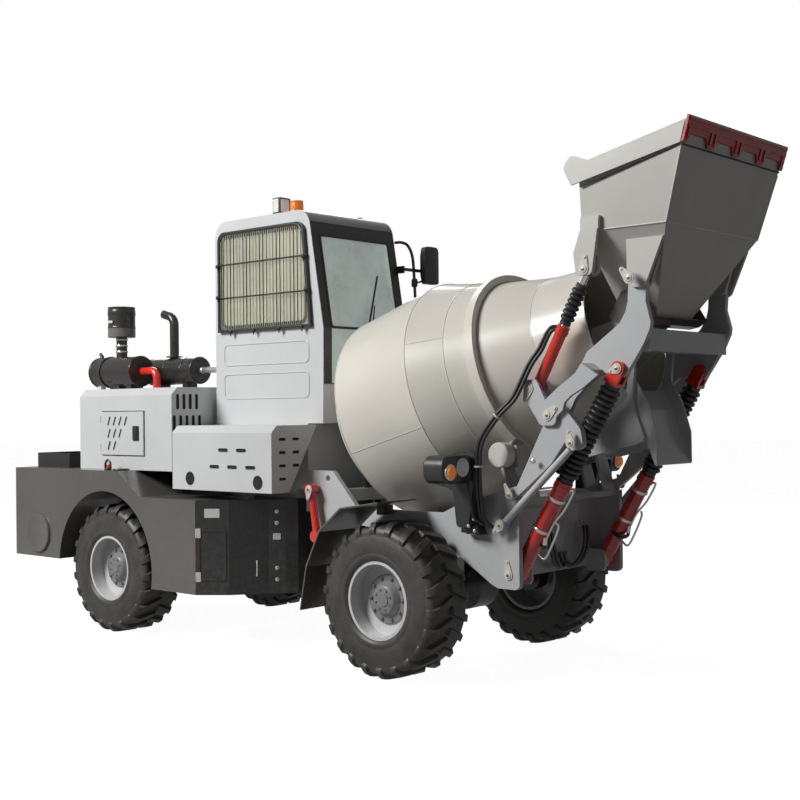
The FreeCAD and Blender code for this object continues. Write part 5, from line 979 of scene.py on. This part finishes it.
wire_cream = enamel("guard_cream_enamel", (0.75, 0.73, 0.58), rough=0.35, rub=0.1, dust=0.1, edge=0.001)
guard_y, guard_rear, guard_foot, guard_top = -0.504, -1.157, 2.511, 3.318
foot_corner, top_corner = (-0.079, guard_foot), (-0.159, 3.25)
guard_outline = [(guard_rear, guard_foot), foot_corner, top_corner, (-0.2, 3.3), (-0.26, guard_top),
                 (-1.05, guard_top), (-1.12, 3.3), (guard_rear, 3.24)]
guard_path = np.array([(x, guard_y, z) for x, z in guard_outline])
for index, (start, end) in enumerate(zip(guard_path, np.roll(guard_path, -1, axis=0))):
    piece(f"guard_tube_{index}", [tube(np.linspace(start, end, 3), 0.0122, sides=14)], trim_black,
          "rear_chassis")
wires, wire_pitch = [], 0.0222
for x in -1.135 + np.arange(48) * wire_pitch:
    # Each wire ends at the top bar, at the bent corner or at the leaning front bar.
    top = min(3.31, top_corner[1] + (top_corner[0] - x) * 2.0, 2.52 + (foot_corner[0] - x) / 0.108)
    if top >= 2.6:
        wires.append(tube([(x, guard_y - 0.002, 2.515), (x, guard_y - 0.002, top)], 0.0024, sides=6))
piece("guard_wires", wires, wire_cream, "rear_chassis")
knobs = []
for x, z in ((guard_rear, 3.05), (guard_rear, 2.79), (-0.137, 3.05), (-0.108, 2.79), (-1.0, 2.5),
             (-0.72, 2.5), (-0.42, 2.5), (-0.16, 2.5)):
    knobs += [dome(0.016, 0.02, (x, guard_y - 0.012, z), -along_y, 14),
              tube([(x, guard_y - 0.016, z), (x, guard_y - 0.016, z - 0.035)], 0.005, sides=8)]
piece("guard_knobs", knobs, trim_black, "rear_chassis")

# ------------------------------------------------------------------ roof lamps and mirror
# An amber beacon on a rubber foot, a square work light on a bent strap, two lifting eyes,
# and a convex mirror clamped to a tube that reaches out from the left front pillar.


def waves(tree, place, scale, distortion, direction):
    """Even bands across one axis."""
    given = {"Vector": place, "Scale": scale, "Distortion": distortion}
    return node(tree, "TexWave", given, bands_direction=direction).outputs[1]


def lens(name, colour, glow, ribs):
    """Moulded clear plastic over a reflector: coloured, glossy and ribbed, with a little of its own light."""
    made, tree, out = blank_material(name)
    place = node(tree, "TexCoord").outputs["Object"]
    wave = waves(tree, place, ribs, 0.0, "Z")
    bumped = node(tree, "Bump", {"Strength": 0.5, "Distance": 0.002, "Height": wave}).outputs[0]
    cloudy = noise(tree, place, 30.0, 2.0)
    deep = node(tree, "VectorMath", {0: colour, "Scale": 0.55}, operation="SCALE").outputs[0]
    shade = mixed(tree, cloudy, deep, (*colour, 1))
    shader = node(tree, "BsdfPrincipled", {
        "Base Color": shade, "Roughness": 0.12, "Normal": bumped, "Coat Weight": 1.0, "Coat Roughness": 0.04,
        "Emission Color": shade, "Emission Strength": glow, "Transmission Weight": 0.15})
    tree.links.new(shader.outputs[0], out.inputs["Surface"])
    return made


amber_lens = lens("amber_lens", (0.95, 0.26, 0.015), 0.25, 60.0)
white_lens = lens("white_lens", (0.85, 0.86, 0.82), 0.25, 45.0)
grey_lens = lens("grey_lens", (0.55, 0.58, 0.62), 0.1, 55.0)
mirror_glass = bare_metal("mirror_glass", (0.6, 0.62, 0.64), 0.06, 1.0)
finish(amber_lens, "beacon")
beacon_foot = np.array([-0.588, -0.15, 3.425])
rubber_foot = [(0, 0), (0, 0.062), (0.008, 0.064), (0.028, 0.06), (0.032, 0.056), (0.0405, 0.056),
               (0.0405, 0)]
piece("beacon_foot", [turned(rubber_foot, beacon_foot, straight_up, 40)], seal_rubber, "rear_chassis")
dome_profile = [(0.0402, 0.0), (0.0402, 0.0565), (0.06, 0.0568), (0.062, 0.0555), (0.064, 0.0568),
                (0.125, 0.0562), (0.14, 0.053), (0.149, 0.045), (0.1515, 0.03), (0.152, 0.0)]
piece("beacon_lens", [turned(dome_profile, beacon_foot, straight_up, 48)], amber_lens, "rear_chassis")
strap_x, strap_y, lamp_z = -0.758, -0.165, 3.55
light_face, light_side = np.array([-0.7175, strap_y, lamp_z]), np.array([strap_x, -0.2255, lamp_z])
lens_outline = rounded(0.1, 0.11, 0.01)
bezel = band(rounded(0.122, 0.132, 0.012), lens_outline, 0.006, light_face, along_y, straight_up)
piece("work_light_bezel", [bezel], trim_black, "rear_chassis", bevel=0.0015)
panes = [slab(rounded(0.066, 0.112, 0.008), 0.004, light_side, along_x, straight_up),
         slab(lens_outline, 0.003, light_face, along_y, straight_up)]
piece("work_light_lens", panes, white_lens, "rear_chassis", bevel=0.001)
strap = flowing([(strap_x, strap_y - 0.025, 3.428), (strap_x, strap_y, 3.44), (strap_x, strap_y, 3.47),
                 (strap_x, strap_y, 3.49)], 4)
strap_foot = dome(0.02, 0.012, (strap_x, strap_y - 0.025, 3.424), straight_up)
piece("work_light_strap", [tube(strap, 0.008, sides=10), strap_foot], trim_black, "rear_chassis")
eye_outline = [(-0.03, 3.42), (-0.03, 3.44), (-0.015, 3.452), (0.015, 3.452), (0.03, 3.44), (0.03, 3.42)]
for name, middle in (("fore", -0.3), ("aft", -1.05)):
    eye = tube([(middle + x, 0.3, z) for x, z in eye_outline], 0.005, sides=8)
    piece(f"roof_eye_{name}", [eye], trim_black, "rear_chassis")

mirror_at = np.array([0.03, 0.77, 3.0575])
outline = rounded(0.176, 0.312, 0.08)
# Each row of the shell is the outline at a depth behind the glass and a share of its full size.
shell_rows = [(0.0, 0.0), (0.0, 0.97), (0.006, 1.0), (0.03, 1.02), (0.058, 1.02), (0.062, 0.85),
              (0.066, 0.55), (0.068, 0.0)]
flat_outline = outline[:, :1] * along_y + outline[:, 1:] * straight_up
grid = np.stack([mirror_at + flat_outline * share + along_x * depth for depth, share in shell_rows], 1)
piece("mirror_shell", [woven(grid, along=True)], trim_black, "rear_chassis", crease=50)
piece("mirror_face", [slab(outline * 0.9, 0.002, mirror_at + (0.0006, 0, 0), -along_y, straight_up)],
      mirror_glass, "rear_chassis")
arm = flowing([(-0.07, 0.482, 3.24), (-0.05, 0.54, 3.245), (-0.03, 0.6, 3.22), (-0.01, 0.635, 3.12),
               (0.0, 0.645, 2.9), (0.005, 0.645, 2.7), (0.005, 0.6, 2.62), (0.02, 0.49, 2.6)], 6)
arm_radius, clamp_at = 0.0125, (0.0, 0.645, 2.91)
piece("mirror_arm", [tube(arm, arm_radius, aside=along_x, sides=14)], trim_black, "rear_chassis")
clamp = turned(hoop(0.0, arm_radius, 0.07, 0.014), clamp_at, straight_up, 24)
link = tube([clamp_at, (0.01, 0.7, 2.92), (0.02, 0.74, 2.935)], 0.008, sides=10)
piece("mirror_clamp", [clamp, link], trim_black, "rear_chassis")

# ------------------------------------------------------------------ driver's place
# A sprung seat: two foam pads in dark woven cloth on steel pans, over a pleated boot. The
# padded steering wheel stands on its column.


def woven_cloth(name, colour):
    """Upholstery cloth: crossed threads in the bump, a slight sheen and worn, paler crowns."""
    made, tree, out = blank_material(name)
    place = node(tree, "TexCoord").outputs["Object"]
    warp = waves(tree, place, 260.0, 0.6, "Y")
    weft = waves(tree, place, 260.0, 0.6, "X")
    threads = maths(tree, "MULTIPLY", warp, weft)
    worn = noise(tree, place, 8.0, 5.0)
    dark, pale = ((*[channel * share for channel in colour], 1) for share in (0.75, 1.5))
    shade = mixed(tree, worn, dark, pale)
    bumped = node(tree, "Bump", {"Strength": 0.35, "Distance": 0.0015, "Height": threads}).outputs[0]
    shader = node(tree, "BsdfPrincipled", {"Base Color": shade, "Roughness": 0.85, "Normal": bumped,
                                           "Sheen Weight": 0.4, "Sheen Roughness": 0.5})
    tree.links.new(shader.outputs[0], out.inputs["Surface"])
    return made


most_moved = 0.014


def foam_pad(name, middle, size, lean, material):
    """A seat pad: a rounded block swelled as cloth under pressure, then smoothed.

    Each point starts on the superellipse |x|^5 + |y|^5 + |z|^5 = 1, scaled to size / 2, and
    may move by most_moved.
    """
    shape = bmesh.new()
    bmesh.ops.create_cube(shape, size=1.0)
    bmesh.ops.subdivide_edges(shape, edges=shape.edges, cuts=11, use_grid_fill=True)
    half = np.array(size) / 2
    for point in shape.verts:
        unit = np.array(point.co) * 2
        reach = (np.abs(unit) ** 5).sum() ** 0.2
        point.co = unit / reach * np.abs(unit).max() * half
    mesh = bpy.data.meshes.new(name)
    shape.to_mesh(mesh)
    shape.free()
    mesh.transform(Matrix.Translation(Vector(middle)) @ Matrix.Rotation(lean, 4, "Y"))
    made = bpy.data.objects.new(name, mesh)
    bpy.context.scene.collection.objects.link(made)
    start = np.array([point.co for point in mesh.vertices])
    swell = made.modifiers.new("cloth", "CLOTH")
    swell.settings.use_pressure = True
    swell.settings.uniform_pressure_force = 4.0
    swell.settings.effector_weights.gravity = 0.0
    for step in range(1, 21):
        bpy.context.scene.frame_set(step)
    swelled = made.evaluated_get(bpy.context.evaluated_depsgraph_get())
    moved = np.array([point.co for point in swelled.data.vertices])
    made.modifiers.clear()
    change = moved - start
    length = np.maximum(np.linalg.norm(change, axis=1), 1e-9)[:, None]
    for point, place in zip(mesh.vertices, start + change * np.minimum(1.0, most_moved / length)):
        point.co = place
    bpy.context.scene.frame_set(1)
    mesh.shade_smooth()
    mesh.materials.append(material)
    smooth = made.modifiers.new("smooth", "SUBSURF")
    smooth.levels = smooth.render_levels = 1
    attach(made, "rear_chassis")
    return made


seat_cloth = woven_cloth("seat_cloth", (0.035, 0.036, 0.04))
lower_pad = foam_pad("seat_cushion", (-0.715, 0, 2.105), (0.47, 0.45, 0.11), 0.03, seat_cloth)
back_lean = -0.17
back_pad = foam_pad("seat_back_cushion", (-0.938, 0, 2.43), (0.11, 0.43, 0.55), back_lean, seat_cloth)
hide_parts("seat")
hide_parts("seat")
pans = [slab(rounded(0.45, 0.4, 0.05), 0.02, (-0.715, 0, 2.035), along_x, along_y),
        slab(rounded(0.4, 0.5, 0.07), 0.018, (-1.0, 0, 2.42), along_y, (back_lean, 0, 0.985))]
piece("seat_pans", pans, trim_black, "rear_chassis", bevel=0.004)
piece("seat_suspension", [pleats((-0.72, 0, 1.79), (-0.72, 0, 2.035), 0.12, 0.155, 6, 0.15)], boot_rubber,
      "rear_chassis", crease=60)
wheel_at, wheel_radius = np.array([-0.188, 0, 2.567]), 0.177
section = [(0.012 * math.sin(angle), wheel_radius + 0.0128 * math.cos(angle))
           for angle in np.linspace(0, 2 * math.pi, 13)]
piece("steering_rim", [turned(section, wheel_at, straight_up, 64)], seal_rubber, "rear_chassis",
      crease=60)
piece("steering_hub", [dome(0.05, 0.02, wheel_at, straight_up, 30)], trim_black, "rear_chassis")

# ------------------------------------------------------------------ rear chassis dressing
# A round raised tank cover on each rear panel, a battery tray on the counterweight, the
# battery switch, a filler cap, and the tool box in the nose with its hinges and handle.

finish(chassis_black, "engine_block")
cover_profile = [(-0.001, 0.0), (-0.001, 0.17), (0.002, 0.173), (0.018, 0.17), (0.022, 0.166), (0.0225, 0.15),
                 (0.02, 0.145), (0.02, 0.0)]
# The nose's folds, each as (x, distance from the middle): shoulder, knee, tip and front.
nose_folds = np.array([(-0.772, 1.1), (-0.558, 0.94), (-0.378, 0.69), (-0.288, 0.6)])
tag_thick = 0.0015


def nose_panel(index, outward):
    """One of the nose's three flat panels: its middle at the ground, its level way and its outward normal."""
    ends = [np.array([x, y * outward, 0.0]) for x, y in nose_folds[index:index + 2]]
    way = (ends[1] - ends[0]) * -outward
    way /= np.linalg.norm(way)
    return (ends[0] + ends[1]) / 2, way, np.cross(way, straight_up)


for hand, outward in (("left", 1), ("right", -1)):
    ahead = -outward
    cover_at = (-2.935, 1.1 * outward, 0.787)
    cover = turned(cover_profile, cover_at, (0, outward, 0), 72)
    piece(f"tank_cover_{hand}", [cover], warm_charcoal, "rear_chassis")

    middle, way, normal = nose_panel(0, outward)
    lid = band(rounded(0.225, 0.4, 0.015), rounded(0.19, 0.365, 0.012), 0.005, middle + straight_up * 0.73,
               way, straight_up)
    piece(f"tool_lid_{hand}", [lid], chassis_black, "rear_chassis", bevel=0.0015)
    leaves, barrels = [], []
    for height in (0.9, 0.56):
        hinge = middle + straight_up * height
        leaves.append(slab(rounded(0.03, 0.075, 0.004), 0.006, hinge - way * 0.105 * ahead, way, straight_up))
        pin = hinge - way * 0.125 * ahead
        barrels.append(tube([pin - straight_up * 0.036, pin + straight_up * 0.036], 0.007, sides=10))
    piece(f"tool_hinges_{hand}", leaves + barrels, keeper_steel, "rear_chassis", bevel=0.001)
    plate = slab(rounded(0.12, 0.07, 0.004), tag_thick, middle + straight_up * 1.055, way, straight_up)
    piece(f"blank_plate_{hand}", [plate], keeper_steel, "rear_chassis")

    middle, way, normal = nose_panel(1, outward)
    grip = middle + way * 0.06 * ahead + straight_up * 0.62
    low, high, proud = grip - straight_up * 0.05, grip + straight_up * 0.05, normal * 0.022
    handle = flowing([low, low + proud, high + proud, high], 5)
    piece(f"tool_handle_{hand}", [tube(handle, 0.006, aside=way, sides=10)], keeper_steel, "rear_chassis")

    middle, way, normal = nose_panel(2, outward)
    bolts = [shell for height in (1.06, 0.97, 0.62, 0.53)
             for shell in hexagon_bolt(middle + straight_up * height - normal * 0.0005, normal, 0.013)]
    piece(f"nose_bolts_{hand}", bolts, zinc, "rear_chassis")
    tag = slab(rounded(0.06, 0.05, 0.004), tag_thick, middle + straight_up * 0.865, way, straight_up)
    piece(f"nose_blank_tag_{hand}", [tag], keeper_steel, "rear_chassis")

tray_height, tray_middle, tray_sheet = 0.13, 1.424, 0.006
tray_walls = [slab(rounded(0.5, tray_height, 0.006), tray_sheet, (-3.0, y, tray_middle), along_x, straight_up)
              for y in (-0.9, -0.35)]
tray_walls += [slab(rounded(0.55, tray_height, 0.006), tray_sheet, (x, -0.625, tray_middle), along_y,
                    straight_up) for x in (-3.25, -2.756)]
battery = slab(rounded(0.38, 0.44, 0.02), 0.09, (-3.0, -0.63, 1.361), along_x, along_y)
piece("battery_tray", tray_walls + [battery], chassis_black, "rear_chassis", bevel=0.003)
switch_at = np.array([-2.0, -1.03, 1.36])
guard_loop = flowing([switch_at + (x, 0, z) for x, z in (
    (-0.035, 0), (-0.033, 0.06), (0, 0.085), (0.033, 0.06), (0.035, 0))], 6)
switch = [tube(guard_loop, 0.01, sides=10), dome(0.028, 0.02, switch_at, straight_up)]
piece("battery_switch_guard", switch, trim_black, "rear_chassis")
knob = slab(rounded(0.03, 0.012, 0.005), 0.03, switch_at + (0, 0, 0.018), along_x, along_y)
piece("battery_switch_knob", [knob], oil_red, "rear_chassis", bevel=0.002)
filler_cap = dome(0.07, 0.014, (-1.86, -1.0, 1.36), straight_up, 40)
piece("deck_filler_cap", [filler_cap], trim_black, "rear_chassis")

# ------------------------------------------------------------------ bucket dressing
# Pale strips along the pressed folds as painted highlights, a black line under the stiffening
# band as its painted shadow, and a cast lip with ribs and pockets between its teeth, its ribs
# topped by painted highlights.

# Pale strips on the folds and on the lip's ribs: painted highlights where the edges catch the light.
highlight_paint = enamel("painted_highlight_enamel", (0.72, 0.72, 0.71), rough=0.35, rub=0.3, dust=0.05, edge=0.002)
# Black for the line under the stiffening band: the band's painted shadow.
band_shadow_black = enamel("band_shadow_black", (0.008, 0.008, 0.008), rough=0.7, rub=0.0, dust=0.0, coat=0.0, edge=0.001)
rim_front, rim_rear = np.array([3.286, 0.668, 3.556]), np.array([2.507, 0.668, 3.392])
fold_front, fold_rear = np.array([3.107, 0.61, 2.965]), np.array([2.503, 0.61, 2.965])
side_drop, back_drop = 0.246, 0.35             # the band's depth as a share of the way from rim to fold
highlight_radius, shadow_line_radius = 0.005, 0.0055
band_front = rim_front + (fold_front - rim_front) * side_drop
band_rear = rim_rear + (fold_rear - rim_rear) * back_drop
folds, shadow_lines = [], []
for outward in (-1, 1):
    flip = (1, outward, 1)
    level = np.linspace(fold_front * flip, (fold_rear + (0.06, 0, 0)) * flip, 4)
    rising = np.linspace(fold_front * flip, (rim_front + (-0.05, -0.016, -0.165)) * flip, 4)
    folds += [tube(level, 0.0048, sides=8), tube(rising, 0.0042, sides=8)]
    # A black tube under each side of the band: painted shadow.
    under = np.linspace((band_front + (-0.012, 0.002, 0)) * flip, (band_rear + (0.012, 0.002, 0)) * flip, 4)
    shadow_lines.append(tube(under, shadow_line_radius, sides=8))
mirrored = (1, -1, 1)
across = fold_front + (0.001, 0, 0)
folds.append(tube(np.linspace(across, across * mirrored, 4), highlight_radius, aside=straight_up, sides=8))
# And one under the band across the front: painted shadow.
across = band_front + (0.003, 0, 0)
shadow_lines.append(tube(np.linspace(across, across * mirrored, 4), shadow_line_radius, aside=straight_up, sides=8))
piece("bucket_fold_highlights", folds, highlight_paint, "bucket")
piece("bucket_band_shadow_lines", shadow_lines, band_shadow_black, "bucket")

lip_red = enamel("cast_lip_enamel", (0.5, 0.018, 0.016), rough=0.4, rub=0.9, dust=0.1, edge=0.004)
finish(lip_red, "cutting_edge")
slope = (fold_front - rim_front) * (1, 0, 1)
slope = slope / np.linalg.norm(slope)
face_out = np.array([-slope[2], 0, slope[0]])
lip_top = np.array([3.2905, 0, 3.5735]) + face_out * 0.0165


def on_lip(width, height, radius, rise, depth, aside=0.0, proud=0.0):
    """A rounded plate on the lip's face: depth below its top edge, aside from its middle, proud of it."""
    middle = lip_top + slope * depth + along_y * aside + face_out * proud
    return slab(rounded(width, height, radius), rise, middle, along_y, -slope)


rib_places = [tooth + offset for tooth in (-0.334, 0.0, 0.334) for offset in (-0.028, 0.028)]
ribs = [on_lip(1.32, 0.016, 0.006, 0.007, depth) for depth in (0.012, 0.052)]
ribs += [on_lip(0.012, 0.085, 0.004, 0.008, 0.093, aside) for aside in rib_places]
ribs += [on_lip(0.03, 0.08, 0.01, 0.006, 0.09, aside) for aside in (-0.63, 0.63)]
piece("lip_ribs", ribs, lip_red, "bucket", bevel=0.002)
# Pale strips on the rib crowns and along the lip's top edge: painted highlights.
highlight_strips = [on_lip(0.006, 0.07, 0.002, 0.0012, 0.09, aside, 0.0075) for aside in rib_places]
highlight_strips.append(on_lip(1.33, 0.006, 0.002, 0.0012, 0.002))
piece("lip_highlights", highlight_strips, highlight_paint, "bucket")

# ------------------------------------------------------------------ front chassis dressing
# Lamp clusters, lock plates on the pins, zinc pipes clipped along the lift cylinders, black
# hoses with crimped steel ends, and caps over the drum rollers' bearings. Last, each lift
# boot gets a mesh of its own.

hose_rubber = rubbery("hose_rubber", (0.012, 0.012, 0.012), 0.12, 0.38, 900.0)
lamp_depth = 0.17
indicator = [(0, 0.0), (0, 0.047), (0.012, 0.047), (0.03, 0.04), (0.04, 0.024), (0.043, 0)]
indicator_bezel = [(-0.06, 0.045), (-0.06, 0.054), (0.012, 0.054), (0.016, 0.051), (0.016, 0.045),
                   (-0.06, 0.045)]
ribbed_lens = [(0, 0.0), (0, 0.062), (0.006, 0.063), (0.01, 0.058), (0.004, 0.054), (0.004, 0.048),
               (0.009, 0.045), (0.005, 0.04), (0.009, 0.034), (0.004, 0.028), (0.012, 0.022), (0.016, 0.012),
               (0.017, 0)]
lead_route = np.array([(1.70, 0.80, 1.38), (1.735, 0.83, 1.3), (1.745, 0.82, 1.2), (1.75, 0.80, 1.12),
                       (1.8, 0.76, 1.07)])
pipe_radius, hose_radius, crimp_radius = 0.0075, 0.013, 0.0165
lift_way = way_of(lift_foot, clevis)
for hand, outward in (("left", 1), ("right", -1)):
    flip = (1, outward, 1)
    lamp_at = np.array([1.555, 0.925, 1.445]) * flip
    housing = slab(rounded(0.33, 0.185, 0.07), lamp_depth, lamp_at, along_y, straight_up)
    piece(f"lamp_housing_{hand}", [housing], trim_black, "front_chassis", bevel=0.01)
    front = lamp_at + (lamp_depth, 0, 0)
    amber_at, grey_at = front + (0, 0.095 * outward, -0.016), front + (0, -0.04 * outward, 0.012)
    piece(f"indicator_lens_{hand}", [turned(indicator, amber_at, along_x, 36)], amber_lens, "front_chassis")
    piece(f"indicator_bezel_{hand}", [turned(indicator_bezel, amber_at, along_x, 36)], zinc, "front_chassis")
    piece(f"lamp_lens_{hand}", [turned(ribbed_lens, grey_at, along_x, 44)], grey_lens, "front_chassis")
    foot = np.array([1.69, 0.782, 1.06]) * flip
    bolts = [shell for step in ((0, 0, 0), (0.045, 0, 0.05), (0.05, 0, -0.03))
             for shell in hexagon_bolt(foot + step, (0, outward, 0), 0.01)]
    piece(f"lamp_bracket_bolts_{hand}", bolts, zinc, "front_chassis")
    lead = flowing(lead_route * flip, 6)
    piece(f"lamp_lead_{hand}", [tube(lead, 0.009, sides=10)], hose_rubber, "front_chassis")

    for name, spot, outer_y, direction, radius, reach in (
            ("brace_foot", (1.904, 1.070), 0.7205, 225, 0.036, 0.055),
            ("brace_head", (2.45, 1.62), upright_face, 100, 0.034, 0.07),
            ("lift_pin", lift_foot, 0.6405, 95, 0.034, 0.085),
            ("side_cover", (1.965, 1.27), upright_face, 115, 0.026, 0.075)):
        keeper(f"{name}_{hand}", spot, outer_y, outward, math.radians(direction), "front_chassis", radius,
               reach)
    bolt_at = np.array([2.16, upright_face, 1.5]) * flip
    piece(f"upright_bolt_{hand}", hexagon_bolt(bolt_at, (0, outward, 0), 0.016), zinc, "front_chassis")

    # Two steel pipes run along the barrel, one to each end of the lift cylinder.
    aside = np.array([0.866, 0, -0.5])
    top, high, middle, low, bottom = (along_cylinder(lift_foot, clevis, lift_aside, reach)
                                      for reach in (0.70, 0.56, 0.44, 0.30, 0.2))
    near, far = 0.062, 0.09
    high_pipe = np.array([top + aside * near, top + aside * far, high + aside * far,
                          middle + aside * near * 1.05, low + aside * near * 1.1]) * flip
    low_pipe = np.array([bottom + aside * near, bottom + aside * (far + 0.03), low + aside * (far + 0.035),
                         middle + aside * (far + 0.02),
                         middle + aside * (far + 0.005) + (0, 0.02, 0.03)]) * flip
    pipes = [tube(flowing(path, 6), pipe_radius) for path in (high_pipe, low_pipe)]
    barrel_foot = along_cylinder(lift_foot, clevis, lift_aside * outward, 0)
    clips = [turned(hoop(at, lift_barrel_radius + 0.0006, 0.022, 0.008), barrel_foot, lift_way, 40)
             for at in (0.36, 0.6)]
    piece(f"lift_pipes_{hand}", pipes + clips, zinc, "lift_barrels")
    # A short hose wraps round the barrel from the elbow, clear of the arm.
    elbow = high_pipe[-1]
    around = flowing([elbow, elbow + (-0.01, 0, -0.04), elbow + (-0.033, -0.061 * outward, -0.05),
                      elbow + (-0.095, -0.052 * outward, -0.015)])
    piece(f"lift_hose_{hand}", [tube(around, hose_radius)], hose_rubber, "lift_barrels")
    crimp = tube([elbow + (0.004, 0, 0.03), elbow + (-0.004, 0, -0.02)], crimp_radius, sides=14)
    piece(f"lift_hose_crimps_{hand}", [crimp], zinc, "lift_barrels")

# Each hose on the cross box hangs from its fitting in a loop and comes back beside it.
loops, crimps = [], []
for y, x in ((-0.16, 1.845), (-0.12, 1.85), (0.3, 1.845), (0.34, 1.85)):
    back = 1 if y < 0 else -1
    path = flowing([(x + ahead, y + across * back, z) for ahead, across, z in (
        (0, 0, 1.0), (0.045, 0, 0.97), (0.06, 0.02, 0.86), (0.05, 0.08, 0.76), (0.03, 0.16, 0.72),
        (0.01, 0.22, 0.76), (0, 0.24, 0.82))])
    loops.append(tube(path, hose_radius, aside=(1, 0.2, 0.1)))
    crimps.append(tube([path[0], path[0] + (0.03, 0, -0.012)], 0.017, sides=14))
piece("crossbox_hoses", loops, hose_rubber, "front_chassis", crease=60)
piece("crossbox_hose_ends", crimps, zinc, "front_chassis")
panels = [band(rounded(0.34, 0.36, 0.02), rounded(0.31, 0.33, 0.015), 0.006, (1.822, y, 0.98), along_y,
               straight_up) for y in (-0.2, 0.2)]
piece("crossbox_panels", panels, frame_grey, "front_chassis", bevel=0.0015)

# A pair of hoses climbs each upright to the arm, where it goes on along the tilt cylinder.
meeting = (2.092, 0.708, 2.05)
lower_route = np.array([(1.81, 0.70, 1.06), (1.785, 0.765, 1.12), (1.778, 0.79, 1.278), (1.778, 0.797, 1.464),
                        (1.805, 0.80, 1.63), (1.921, 0.77, 1.801), (2.027, 0.738, 1.911), meeting])
upper_route = np.array([meeting, (2.12, 0.67, 2.14), (2.177, 0.64, 2.232), (2.243, 0.62, 2.352),
                        (2.285, 0.605, 2.372), (2.31, 0.595, 2.345)])
beside = np.array([0.027, 0.0, -0.008])
beside_at_head = (0.02, 0.01, -0.02)
paired_radius, tie_radius = 0.0125, 0.031
for hand, outward in (("left", 1), ("right", -1)):
    flip = (1, outward, 1)
    lower_runs = [tube(flowing((lower_route + step) * flip, 10), paired_radius)
                  for step in (0 * beside, beside)]
    upper_runs = [tube(flowing((upper_route + step) * flip, 10), paired_radius)
                  for step in (0 * beside, np.array([beside] * 3 + [beside_at_head] * 3))]
    ties = []
    for spot, half_length in ((3, np.array([0, 0, 0.006])), (5, np.array([0.004, 0, 0.004]))):
        middle = lower_route[spot] * flip + beside * 0.5
        ties.append(tube([middle - half_length, middle + half_length], tie_radius, sides=18))
    start, end = tuple(lower_route[3] * flip), tuple(lower_route[-1] * flip)
    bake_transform(piece(f"drum_side_hoses_{hand}", lower_runs, hose_rubber, None, crease=60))
    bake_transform(piece(f"hose_ties_{hand}", ties, keeper_steel, None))
    piece(f"tilt_hoses_{hand}", upper_runs, hose_rubber, "tilt_barrels", crease=60)
bearing_cap = [(0, 0.0), (0, 0.085), (0.075, 0.085), (0.082, 0.078), (0.082, 0.0)]
caps = [turned(bearing_cap, (1.838, outward * 0.5635, 1.5315), (0, outward, 0), 44) for outward in (-1, 1)]
piece("roller_bearing_caps", caps, keeper_steel, "front_chassis")
for hand, outward in (("left", 1), ("right", -1)):
    keeper(f"ram_head_{hand}", (0.124, 1.25), 0.7375, outward, math.radians(262), "front_chassis", 0.034,
           0.07)
    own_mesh(bpy.data.objects[f"lift_boot_{hand}"])
